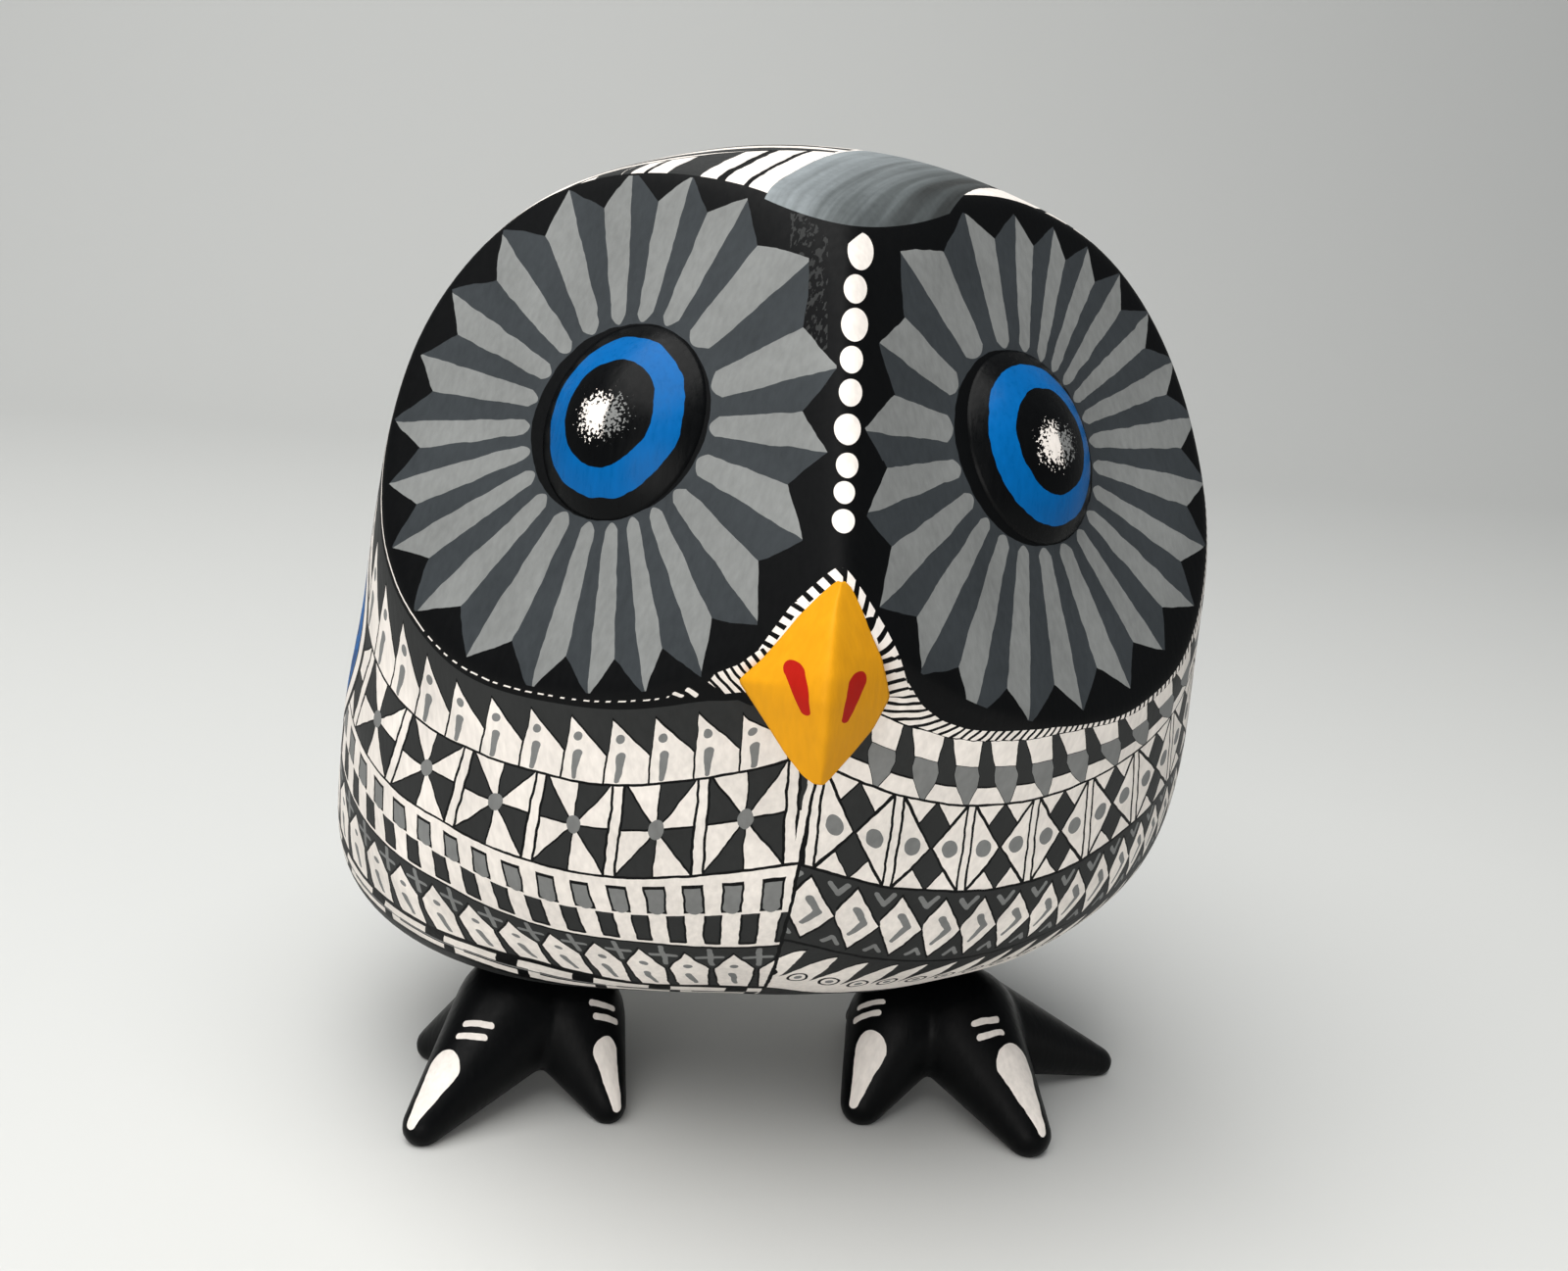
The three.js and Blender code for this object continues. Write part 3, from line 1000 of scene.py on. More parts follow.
def pendants(pot, u, v, share):
    """A white cap with a grey pendant under it, on charcoal above a white strip."""
    lean = u.scaled(0.004, -0.13).limited(-0.12, 0.03)
    y = share * PENDANT_TALL
    x = from_middle(u - lean * (y - 5.0), PENDANT_PITCH, PENDANT_MIDDLE)
    tone = pot.over(CHARCOAL, y > STRIP_TOP, WHITE)
    tone = pot.over(tone, abs(y - STRIP_TOP) < LINE, INK)
    tone = outlined(pot, tone, depth_inside(pot, x, y, CAP), 0.16, 0.0, WHITE)
    return outlined(pot, tone, depth_inside(pot, x, y, PENDANT), 0.1, 0.0, GREY)


print("pendants every", PENDANT_PITCH, "mm")

# %% Lozenges
LOZENGE_PITCH, LOZENGE_MIDDLE, LOZENGE_TALL = 10.5, 5.9, 16.0


def lozenges(pot, u, v, share):
    """Crossed lines in each cell, a dark lozenge above and below, and a dot on each side."""
    lean = u.scaled(-0.009, 0.06).limited(-0.24, 0.05)
    y = share * LOZENGE_TALL - LOZENGE_TALL / 2
    wide = abs(from_middle(u + u * u * 0.0012 - lean * y, LOZENGE_PITCH, LOZENGE_MIDDLE))
    high = abs(y)
    lozenge = 3.95 - wide * 1.8 - abs(high - 3.95)
    tone = pot.over(WHITE, lozenge > -0.35, INK)
    tone = pot.over(tone, abs(high - wide * 1.72) < 0.5, INK)
    tone = pot.over(tone, lozenge > 0.1, CHARCOAL)
    tone = pot.over(tone, disc(pot, wide, y * 0.72, (2.65, 0.0), 1.15), GREY)
    tone = pot.over(tone, wide > BAR_INSIDE, INK)
    return pot.over(tone, wide > BAR, WHITE)


print("lozenges every", LOZENGE_PITCH, "mm")

# %% Folded tiles and fins
FOLDED_PITCH, FOLDED_MIDDLE, FOLDED_TALL = 5.87, 8.2, 14.0
FOLDED = [(-0.7, 12.9), (-3.3, 6.4), (-0.5, 1.2), (2.9, 7.0)]
FIN_PITCH, FIN_TALL = 3.75, 11.0


def folded_tiles(pot, u, v, share):
    """Leaning white tiles that touch at their corners, a grey hook on each, hearts above."""
    lean = u.scaled(-0.012, 0.1).limited(-0.4, 0.05)
    y = share * FOLDED_TALL
    run = u + u * u * 0.005 - lean * (y - FOLDED_TALL / 2)
    x = from_middle(run, FOLDED_PITCH, FOLDED_MIDDLE)
    between = from_middle(run, FOLDED_PITCH, FOLDED_MIDDLE - FOLDED_PITCH / 2)
    tile = depth_inside(pot, x, y, FOLDED)
    hearts_and_carets = strokes(
        pot, between, y,
        ((-1.0, 1.5), (0.0, 2.9), 0.75), ((0.0, 2.9), (1.2, 1.2), 0.7),
        ((-1.1, 12.3), (0.0, 10.9), 0.65), ((0.0, 10.9), (0.8, 12.2), 0.65),
    )
    hook = strokes(pot, x, y, ((-0.3, 4.9), (0.8, 6.8), 1.2, 1.0), ((0.8, 6.8), (-0.9, 9.7), 1.05, 0.55))
    tone = pot.over(CHARCOAL, hearts_and_carets, GREY)
    tone = outlined(pot, tone, tile, 0.16, LINE, WHITE)
    return pot.over(tone, hook & (tile > 0.3), GREY)


def fins(pot, u, v, share):
    """White fins that lean to the right, each with a small scroll at its foot."""
    y = share * FIN_TALL
    cell = (u + y * 0.35).scaled(1 / FIN_PITCH, 0.15).part()
    top = (1.0 - cell).math("POWER", 1.6).scaled(6.0, 0.8)
    tone = pot.over(CHARCOAL, y > top, WHITE)
    tone = pot.over(tone, abs(y - top) < 0.18, INK)
    away = pot.gap(pot.join(cell * FIN_PITCH, y), (2.0, 6.4, 0))
    tone = pot.over(tone, abs(away - 1.05) < 0.15, INK)
    return pot.over(tone, away < 0.45, GREY)


print("folded tiles every", FOLDED_PITCH, "mm, fins every", FIN_PITCH, "mm")

# %% [markdown]
# ## Wings, back and underside
#
# The photograph shows only a sliver of blue at the flank, where the wing begins, and nothing of the
# back. These sides are finished in keeping and plainer: a blue wing like a leaf on each flank, rows
# of scalloped feathers over the back, and a dark underside.

# %% Feathers of the back
SIDE_RADIUS, AXIS_BACK = 48.0, 24.0
FEATHER_ROW, FEATHER_WIDTH, FEATHER_REACH = 7.0, 9.0, 6.1
# Below this height the sides are plain charcoal: painted shade under the belly.
SHADED_UNDERSIDE_TOP = 13.0


def round_the_back(pot, place):
    """Millimetres round the upright axis, from the middle of the back, and the height."""
    x, y, z = pot.split(place)
    angle = pot.node("Math", {"operation": "ARCTAN2"}, {0: x, 1: y + AXIS_BACK})
    return angle * SIDE_RADIUS, z


def staggered(across, width, row):
    """Millimetres from the middle of a cell, in rows set half a cell to the side of each other."""
    return (across / width + (row.whole() * 0.5).part()).part().scaled(width, -width / 2)


def feathers(pot, arc, z):
    """Rows of rounded feathers: discs whose middles lie a little above each row."""
    rows = z / FEATHER_ROW
    x, y = staggered(arc, FEATHER_WIDTH, rows), rows.part() * FEATHER_ROW
    away = pot.gap(pot.join(x, y), (0.0, 7.6, 0))
    tone = pot.over(CHARCOAL, away < FEATHER_REACH, WHITE)
    tone = pot.over(tone, abs(away - FEATHER_REACH) < 2 * LINE, INK)
    tone = pot.over(tone, abs(away - 4.2) < 0.3, GREY)
    return pot.over(tone, disc(pot, x, y, (0.0, 4.6), 0.75), INK)


def sides(pot, place):
    """Feathers above and plain charcoal below as painted shade under the belly, with the two lengths that
    they were drawn by.
    """
    arc, z = round_the_back(pot, place)
    return pot.over(feathers(pot, arc, z), z < SHADED_UNDERSIDE_TOP, CHARCOAL), arc, z


print("feathers", FEATHER_WIDTH, "mm wide in rows", FEATHER_ROW, "mm apart")

# %% Wing
WING_ARC, WING_HEIGHT, WING_LONG, WING_SHORT = 54.0, 58.0, 30.0, 18.0
WING_LEVEL, WING_FALL = 0.94, 0.34
WING_ROW, WING_FEATHER = 8.0, 6.0
# Where the black rim, the white rim, the inner line, the blue and its feathers begin, from outside.
WING_RIM, WING_WHITE, WING_LINE, WING_BLUE, WING_INNER = 1.12, 1.05, 0.93, 0.9, 0.86


def wing(pot, tone, arc, z):
    """A leaf of blue on the flank with rows of darker feather tips, and how far out it reaches."""
    back, above = abs(arc) - WING_ARC, z - WING_HEIGHT
    x = back * -WING_LEVEL + above * -WING_FALL
    y = back * -WING_FALL + above * WING_LEVEL
    narrow = x.scaled(-0.18 / WING_LONG, 1.0)
    level = (x * x) * (1 / WING_LONG ** 2) + (y * y) / (narrow * narrow) * (1 / WING_SHORT ** 2)
    rows = x / WING_ROW
    away = pot.gap(pot.join(staggered(y, WING_FEATHER, rows), rows.part() * WING_ROW), (0.0, 1.2, 0))
    for limit, colour in ((WING_RIM, INK), (WING_WHITE, WHITE), (WING_LINE, INK), (WING_BLUE, BLUE)):
        tone = pot.over(tone, level < limit, colour)
    inner = level < WING_INNER
    tone = pot.over(tone, inner & (abs(away - 3.4) < 0.3), INK)
    return pot.over(tone, inner & (away < 2.2), DEEP_BLUE), level


print("wing", 2 * WING_LONG, "by", 2 * WING_SHORT, "mm")

# %% [markdown]
# ## The breast
#
# One number, the count of bands, tells which figure a point belongs to and how deep in its band it
# is. The material paints the bands one after the other, then the seam, the wing, the black border of
# the face and the edging, in the order in which the brush would lay them over each other.

# %% Breast materials
BREAST_REACH, BREAST_OUTLINE = 88.0, 0.5
SEAM_HALF, BAND_LINE = 0.2, 0.016
# The dashed line in the border: its pitch, half its thickness, and where it starts and turns solid.
DASH_PITCH, DASH_HALF, DASH_START, DASH_SOLID = 1.7, 0.22, -23.5, -62.0
TAIL_CORNER = [(-18.6, 0.9), (-17.8, -0.5), (-14.4, -0.5), (-10.2, 5.0), (-15.5, 3.5)]


def choose_band(pot, bands, painters, u, v):
    """Paints each band with its own figures, and draws a black line along its lower edge."""
    tone = None
    for number, painter in enumerate(painters):
        share = bands - float(number)
        drawn = painter(pot, u, v, share)
        tone = drawn if tone is None else pot.over(tone, share > 0.0, drawn)
    nearest = abs((bands + 0.5).part() - 0.5)
    line = (nearest < BAND_LINE) & (bands > 0.5) & (bands < len(painters) + 0.1)
    return pot.over(tone, line, INK)


def beak_tail(pot, tone, u, v):
    """The end of the edging left of the beak: a ticked corner, then two dashes in line with the rim."""
    corner = depth_inside(pot, u, v, TAIL_CORNER) > 0.0
    light = (u - v).scaled(0.95, 0.3).part() > 0.4
    dashes = strokes(pot, u, v, ((-21.3, 1.0), (-19.5, 2.3), 0.5), ((-23.0, 1.1), (-21.6, 1.9), 0.4))
    tone = pot.over(tone, corner, INK)
    return pot.over(tone, (corner & light) | dashes, WHITE)


def breast_paint(name, painters, side):
    """Bands on the breast, plain sides beyond it, and the wing, the border and the edging on top."""
    pot = Pot(name)
    place = pot.place()
    u, v = pot.lengths("Paint")
    bands, under = pot.map("Bands")
    u, v = wavering(pot, u, v, place)
    under = under * MAP_UNIT
    below = bands + pot.noise(place, 0.5).scaled(0.03, -0.015)
    tone, arc, z = sides(pot, place)
    banded = choose_band(pot, below, painters, u, v)
    banded = pot.over(banded, (abs(u) < SEAM_HALF) & (bands > 1.0), INK)
    # Below the last band the breast turns under and is plain charcoal: painted shade under the belly.
    banded = pot.over(banded, below > float(len(painters)), CHARCOAL)
    tone = pot.over(tone, abs(u) < BREAST_REACH + BREAST_OUTLINE, INK)
    tone = pot.over(tone, abs(u) < BREAST_REACH, banded)
    tone, _ = wing(pot, tone, arc, z)
    tone = pot.over(tone, under < 0.0, INK)
    if side < 0:
        dashes = u / DASH_PITCH
        length = pot.chance(dashes.whole()).scaled(0.35, 0.35)
        dash = (dashes.part() < length) | (u < DASH_SOLID)
        tone = pot.over(tone, dash & (abs(v + under) < DASH_HALF) & (u < DASH_START), WHITE)
    band, ticks = edging(pot, place, side)
    tone = pot.over(tone, band, WHITE)
    tone = pot.over(tone, ticks, INK)
    if side < 0:
        tone = beak_tail(pot, tone, u, v)
    return finish(pot, tone, place)


left_paint = breast_paint("breast_left_paint", [sails, pinwheels, tiles, houses, fret], -1)
right_paint = breast_paint("breast_right_paint", [rope, pendants, lozenges, folded_tiles, fins], 1)
print("left breast nodes:", len(left_paint.node_tree.nodes))

# %% [markdown]
# ## The crown
#
# A streaky grey patch runs back over the head from the ridge, light on the left and dark on the
# right. To its left black and white stripes run the same way, and bars cross them further back. To
# its right are fine black lines on white.

# %% Crown and back materials
# Stripes from left to right: where each one ends across the crown, and its colour.
STRIPES = [(-28.5, CHARCOAL), (-26.75, WHITE), (-26.1, INK), (-23.2, WHITE), (-18.2, CHARCOAL),
           (-15.6, WHITE), (-14.5, INK), (-11.5, WHITE), (-10.8, INK), (PATCH_LEFT, WHITE)]
CROSS_BARS, BAR_PITCH, CROWN_END, CROWN_BORDER = -31.0, 3.6, 62.0, 0.6
RUNG_PITCH, RUNG_END = 7.0, -30.0
HATCH_PITCH, HATCH_START = 2.6, PATCH_RIGHT + 5.2


def crown_paint():
    """Stripes, cross bars and hatching to either side of the patch, and plain sides beyond them."""
    pot = Pot("crown_paint")
    place = pot.place()
    x, y, _ = pot.split(place)
    across, back = wavering(pot, across_crown(x, y), y, place, 0.2)
    plain, arc, z = sides(pot, place)
    tone = WHITE
    for edge, colour in reversed(STRIPES):
        tone = pot.over(tone, across < edge, colour)
    rungs = (across.scaled(1 / RUNG_PITCH, 0.3).part() < 0.45) & (across < RUNG_END)
    tone = pot.over(tone, rungs, WHITE)
    bars = (back > CROSS_BARS) & (across < PATCH_LEFT - 0.5)
    step = ((back + across * 0.1) / BAR_PITCH).part()
    tone = pot.over(tone, bars, WHITE)
    tone = pot.over(tone, bars & (step < 0.5), CHARCOAL)
    tone = pot.over(tone, bars & (abs(back - CROSS_BARS) < 0.4), INK)
    tone = pot.over(tone, across > PATCH_RIGHT, WHITE)
    hatch = ((across / HATCH_PITCH).part() < 0.3) & (across > HATCH_START)
    tone = pot.over(tone, hatch, INK)
    _, v = pot.lengths("Paint")
    tone = pot.over(tone, v > CROWN_END, INK)
    tone = pot.over(tone, v > CROWN_END + CROWN_BORDER, plain)
    tone = pot.over(tone, v < CROWN_BORDER, INK)
    inside, greys = crown_patch(pot, place)
    between = (across > PATCH_LEFT) & (across < PATCH_RIGHT) & (v < CROWN_END)
    tone = pot.over(tone, between, INK)
    tone, leaf = wing(pot, tone, arc, z)
    return finish(pot, tone, place, patch=(inside & (v < CROWN_END) & (leaf > WING_RIM), greys))


def back_paint():
    """Feathers, underside and wings alone."""
    pot = Pot("back_paint")
    place = pot.place()
    tone, arc, z = sides(pot, place)
    tone, _ = wing(pot, tone, arc, z)
    return finish(pot, tone, place)


crown_material = crown_paint()
back_material = back_paint()
print("crown nodes:", len(crown_material.node_tree.nodes), "back:", len(back_material.node_tree.nodes))

# %% [markdown]
# ## The face
#
# Each flat is black with a wheel of folded petals round the eye: a light half and a dark half share
# one pointed tip. The painter made the petals towards the ridge broader than the others, so the
# angle round the eye is first bent by a few slow waves and then divided evenly. Down the ridge runs
# a row of nine off-white dots.

# %% Petals
EYE_OUT, EYE_DOWN, EYE_RADIUS, EYE_HEIGHT, EYE_ROOT = 25.0, 6.3, 10.7, 3.8, 2.0
EYE_NARROWNESS = 0.9
EYE_SHIFT = {-1: 0.5, 1: 0.9}
# Tips as measured on each flat: degrees round the eye against the clock, and reach from its middle.
LEFT_TIPS = [(107.7, 28.7), (91.9, 27.8), (75.2, 27.4), (52.4, 25.9), (22.7, 25.0), (1.9, 24.7),
             (-17.5, 25.9), (-37.3, 28.7), (-51.1, 29.7), (-64.7, 29.6), (-76.2, 29.4), (-91.4, 29.0),
             (-108.3, 30.1), (-126.6, 29.9), (-141.4, 30.0), (-155.9, 29.8), (-171.6, 29.2),
             (-185.6, 28.9), (-202.4, 28.9), (-219.4, 29.5), (-237.0, 29.4)]
RIGHT_TIPS = [(118.5, 24.9), (93.8, 26.2), (75.7, 27.3), (61.6, 28.5), (50.1, 29.2), (39.2, 30.4),
              (28.8, 31.3), (16.4, 31.5), (2.7, 31.4), (-11.0, 31.9), (-25.1, 31.5), (-41.5, 30.5),
              (-55.9, 29.0), (-74.3, 28.9), (-90.2, 28.7), (-105.7, 29.6), (-123.3, 32.0),
              (-137.7, 32.3), (-150.5, 29.4), (-169.0, 26.8), (-189.3, 23.1), (-211.1, 22.2)]
WAVES = 5
PETAL_START = 10.75


def wave_fit(angles, values):
    """The steady part and the slow waves, up to five a turn, that follow the values best."""
    columns = [np.ones_like(angles)]
    for number in range(1, WAVES + 1):
        columns += [np.cos(number * angles), np.sin(number * angles)]
    return np.linalg.lstsq(np.stack(columns, axis=1), values, rcond=None)[0]


def wave_sum(angle, fit):
    """The same waves as nodes."""
    total = None
    for number in range(1, WAVES + 1):
        for term, operation in ((fit[2 * number - 1], "COSINE"), (fit[2 * number], "SINE")):
            wave = (angle * float(number)).math(operation)
            total = wave * float(term) if total is None else wave.scaled(float(term), total)
    return total + float(fit[0])


def eye_middle(side):
    """The middle of an eye's foot, on the flat."""
    outward, upward, _ = face_axes(side)
    return RIDGE_POINT + EYE_OUT * outward - EYE_DOWN * upward


def on_flat(pot, place, side):
    """Millimetres to the viewer's right and up the flat, from the middle of the eye."""
    outward, upward, _ = face_axes(side)
    from_eye = pot.minus(place, eye_middle(side))
    return pot.dot(from_eye, outward * side), pot.dot(from_eye, upward)


def petals(pot, x, y, tips, mirrored):
    """A wheel of petals: the angle is bent until it divides evenly, and the tips reach as measured."""
    angles, reaches = np.radians(np.array(tips)[:, 0]), np.array(tips)[:, 1]
    count = len(tips)
    ideal = -np.arange(count) * 2 * math.pi / count
    bend = wave_fit(angles, ideal - angles)
    reach = wave_fit(angles, reaches)
    angle = pot.node("Math", {"operation": "ARCTAN2"}, {0: y, 1: x})
    away = (x * x + y * y).math("SQRT")
    petal = (angle + wave_sum(angle, bend)).scaled(count / (2 * math.pi), 0.5)
    number = petal.whole()
    cell = petal.part()
    chance = pot.chance(number)
    tip = wave_sum(angle, reach) + (chance - 0.5) * 0.9
    fold = abs(cell - 0.5) * 2.0
    edge = tip - fold * (away * (math.pi / count)) * (chance * 0.25 + 0.95)
    middle = away.scaled(0.004 * mirrored, 0.5 - 0.1 * mirrored) + (chance - 0.5) * 0.06
    pale = (cell > middle) if mirrored > 0 else (cell < middle)
    side_middle = 0.73 if mirrored > 0 else 0.27
    across = (cell - side_middle) * 4.0
    rounded = away > (across * across).scaled(0.75, 10.95)
    tone = pot.over(DARK_PETAL, pale & rounded, PALE_PETAL)
    return pot.over(tone, (away > edge) | (away < PETAL_START), INK)


print("petals:", len(LEFT_TIPS), "and", len(RIGHT_TIPS))

# %% [markdown]
# ## The ridge and the whole face
#
# Each dot is a drop of paint set down with a stick, so it is a disc with a width and a height of its
# own: the place is divided by both before the distance is taken. Beside the upper dots the brush ran
# dry and left the ridge rough; the sheen that this rough paint catches is painted as charcoal streaks by a
# patchy noise.

# %% Face materials
# Each dot on the ridge: its place across and up, half its width and half its height.
DOTS = [(1.55, 108.6, 1.42, 1.75), (0.95, 105.1, 1.25, 1.35), (0.9, 101.8, 1.42, 1.55),
        (0.6, 98.6, 1.2, 1.25), (0.55, 95.6, 1.2, 1.25), (0.3, 92.3, 1.35, 1.4),
        (0.3, 89.1, 1.12, 1.12), (0.05, 86.7, 1.05, 1.0), (0.0, 84.2, 1.12, 1.05)]
RIDGE_MIDDLE, RIDGE_HALF = 0.6, 1.5
# Where the painted sheen on the rough ridge lies: across it, half its width, and its lowest height.
DRY_SHEEN_MIDDLE, DRY_SHEEN_HALF, DRY_SHEEN_FOOT = -3.6, 1.8, 96.0


def face_paint(name, tips, side):
    """Petals, the black ridge with its dots, the edging, and the front of the crown's patch."""
    pot = Pot(name)
    place = pot.place()
    x, y = on_flat(pot, place, side)
    x, y = wavering(pot, x, y, place, 0.14)
    tone = petals(pot, x, y, tips, -side)
    from_ridge = pot.dot(place, SIDEWAYS)
    tone = pot.over(tone, abs(from_ridge - RIDGE_MIDDLE) < RIDGE_HALF, INK)
    if side < 0:
        # Painted sheen: charcoal streaks on the black, where the rough paint beside the dots catches the
        # light.
        dry = pot.noise(place, 2.2, 3.0, (1, 1, 0.3)) > 0.55
        high = pot.dot(place, (0, 0, 1)) > DRY_SHEEN_FOOT
        beside = abs(from_ridge - DRY_SHEEN_MIDDLE) < DRY_SHEEN_HALF
        tone = pot.over(tone, dry & beside & high & (tone < 0.5), CHARCOAL)
    band, ticks = edging(pot, place, side)
    tone = pot.over(tone, band, WHITE)
    tone = pot.over(tone, ticks, INK)
    for across, height, half_width, half_height in DOTS:
        scaled = pot.node("VectorMath", {"operation": "MULTIPLY"},
                          {0: place, 1: (1 / half_width, 0, 1 / half_height)})
        tone = pot.over(tone, pot.gap(scaled, (across / half_width, 0, height / half_height)) < 1.0, WHITE)
    return finish(pot, tone, place, patch=crown_patch(pot, place))


face_left_paint = face_paint("face_left_paint", LEFT_TIPS, -1)
face_right_paint = face_paint("face_right_paint", RIGHT_TIPS, 1)
print("face nodes:", len(face_left_paint.node_tree.nodes))

# %% [markdown]
# ## The skin pieces
#
# The grid is parted at the rim, at the ridge, at the seam below the beak, beside the crown and well
# down the back. The two face flats part at the ridge, and the two halves of the breast at the seam.

# %% Skin pieces
BACK_STARTS = 74.0
BACK_ROW = RIM_ROW + int(np.argmin(np.abs(down[RIM_ROW:, len(turns) // 4] - BACK_STARTS)))
LAST_ROW = len(tilts) - 1
MIDDLE = len(turns) // 2
CROWN_TURN = math.radians(62)
CROWN_LEFT = int(np.argmin(np.abs(turns + CROWN_TURN)))
CROWN_RIGHT = int(np.argmin(np.abs(turns - CROWN_TURN)))
LAST = len(turns) - 1
MARGIN = 0.005

paint_map = (around_grid / MAP_UNIT, down / MAP_UNIT)


def bake_map(across, upward, rows, columns):
    """A layout for baking: the two values scaled to fill the square."""
    block = (slice(rows[0], rows[1] + 1), slice(columns[0], columns[1] + 1))
    scaled = []
    for values in (across, upward):
        low, high = values[block].min(), values[block].max()
        scaled.append(MARGIN + (1 - 2 * MARGIN) * (values - low) / (high - low))
    return tuple(scaled)


def flat_map(side):
    """Millimetres out and up on one flat, from the middle of its eye."""
    outward, upward, _ = face_axes(side)
    from_eye = points - eye_middle(side)
    return from_eye @ outward, from_eye @ upward


def skin_piece(name, rows, columns, material, bands, layout):
    """A piece of the skin with its lengths, its layout for baking and, on the breast, its bands."""
    maps = {"Paint": paint_map, "OFBake": bake_map(*layout, rows, columns)}
    if bands is not None:
        maps["Bands"] = bands
    return grid_piece(name, rows, columns, [material, bare_wood], maps)


polar = ((math.pi - tilts) * np.cos(turn_grid), (math.pi - tilts) * np.sin(turn_grid))
skin_piece("face_left", (0, RIM_ROW), (0, MIDDLE), face_left_paint, None, flat_map(-1))
skin_piece("face_right", (0, RIM_ROW), (MIDDLE, LAST), face_right_paint, None, flat_map(1))
skin_piece("breast_left", (RIM_ROW, BACK_ROW), (0, CROWN_LEFT), left_paint, left_bands, (around_grid, down))
skin_piece("breast_right", (RIM_ROW, BACK_ROW), (CROWN_RIGHT, LAST), right_paint, right_bands,
           (around_grid, down))
skin_piece("crown", (RIM_ROW, BACK_ROW), (CROWN_LEFT, CROWN_RIGHT), crown_material, None, (turn_grid, down))
skin_piece("back", (BACK_ROW, LAST_ROW), (0, LAST), back_material, None, polar)

# %% [markdown]
# ## The eyes
#
# Each eye is a low dome left standing on the flat. A profile from the middle to the foot is turned
# about the line that leaves the flat, with its foot sunk a little into the wood.

# %% Eye domes and their paint
EYE_RINGS, EYE_SPOKES = 28, 96


def turned_grid(radii, heights, spokes):
    """Rings of points: a radius and a height for each ring, and an angle for each spoke."""
    angle = np.linspace(0, 2 * math.pi, spokes, endpoint=False)
    return np.stack([
        radii[:, None] * np.cos(angle),
        radii[:, None] * np.sin(angle),
        np.broadcast_to(heights[:, None], (len(radii), spokes)),
    ], axis=-1)


def eye_dome(side, material):
    """Part of a ball above the flat, then a straight wall down into the wood."""
    outward, upward, away = face_axes(side)
    ball = (EYE_RADIUS ** 2 + EYE_HEIGHT ** 2) / (2 * EYE_HEIGHT)
    spread = math.asin(EYE_RADIUS / ball)
    angle = np.linspace(0, spread, EYE_RINGS)[1:]
    radii = np.concatenate([ball * np.sin(angle), [EYE_RADIUS]])
    heights = np.concatenate([ball * np.cos(angle) - ball + EYE_HEIGHT, [-EYE_ROOT]])
    rings = turned_grid(radii, heights, EYE_SPOKES)
    local = np.vstack([[[0, 0, EYE_HEIGHT]], rings.reshape(-1, 3), [[0, 0, -EYE_ROOT]]])
    places = (
        eye_middle(side)
        + (local[:, :1] * EYE_NARROWNESS + EYE_SHIFT[side]) * outward * side
        + local[:, 1:2] * upward
        + local[:, 2:] * away
    )
    name = "eye_left" if side < 0 else "eye_right"
    return new_object(name, places, closed_rings(len(radii), EYE_SPOKES), [material])


def closed_rings(rings, spokes):
    """Faces of a stack of rings between a first point and a last one."""
    spoke = np.arange(spokes)
    after = (spoke + 1) % spokes
    last = rings * spokes + 1
    faces = [(0, 1 + int(i), 1 + int(j)) for i, j in zip(spoke, after)]
    for ring in range(rings - 1):
        low, high = 1 + ring * spokes, 1 + (ring + 1) * spokes
        faces += [(low + int(i), high + int(i), high + int(j), low + int(j)) for i, j in zip(spoke, after)]
    low = 1 + (rings - 1) * spokes
    faces += [(low + int(i), last, low + int(j)) for i, j in zip(spoke, after)]
    return faces


# %% Eye paint
IRIS, PUPIL = 8.8, 5.8
DAB_MIDDLE, DAB_REACH, DAB_SPECKLE = (-0.9, -0.6, 0), 5.4, 7.0
# A painted reflection of the lamp on the dome: the middle, reach and speckle of a grey patch, and its left
# limit.
REFLECTION_MIDDLE, REFLECTION_REACH, REFLECTION_SPECKLE, REFLECTION_LEFT = (1.2, -0.6, 0), 5.6, 9.0, 0.3
EYE_ROUGHNESS = 0.3


def eye_paint(name, side):
    """Black, a blue ring, a black pupil, and in it a dry dab of white, with a grey patch to its right that
    is a painted reflection of the lamp.
    """
    pot = Pot(name)
    place = pot.place()
    x, y = on_flat(pot, place, side)
    x = x.scaled(1 / EYE_NARROWNESS, -EYE_SHIFT[side] / EYE_NARROWNESS)
    x, y = wavering(pot, x, y, place, 0.2)
    away = (x * x + y * y).math("SQRT")
    tone = pot.over(INK, away < IRIS, BLUE)
    tone = pot.over(tone, away < PUPIL, INK)
    flat = pot.join(x, y)
    speckle = pot.noise(place, 3.2, 3.0)
    dab = pot.gap(flat, DAB_MIDDLE) + speckle * DAB_SPECKLE
    tone = pot.over(tone, dab < DAB_REACH, WHITE)
    # Painted reflection: a speckled grey patch on the right of the pupil stands for the lamp seen in the
    # dome.
    painted_reflection = pot.gap(flat, REFLECTION_MIDDLE) + speckle * REFLECTION_SPECKLE
    tone = pot.over(tone, (painted_reflection < REFLECTION_REACH) & (x > REFLECTION_LEFT), GREY)
    return finish(pot, tone, place, EYE_ROUGHNESS)


eye_dome(-1, eye_paint("eye_left_paint", -1))
eye_dome(1, eye_paint("eye_right_paint", 1))

# %% [markdown]
# ## The beak
#
# The beak is a kite folded along its keel. Its front is a surface of two numbers: one runs down from
# the top to the tip, and the other runs from the left edge over the keel to the right edge. Near the
# keel the fold is rounded with a square root, which is close to a plain fold further off.

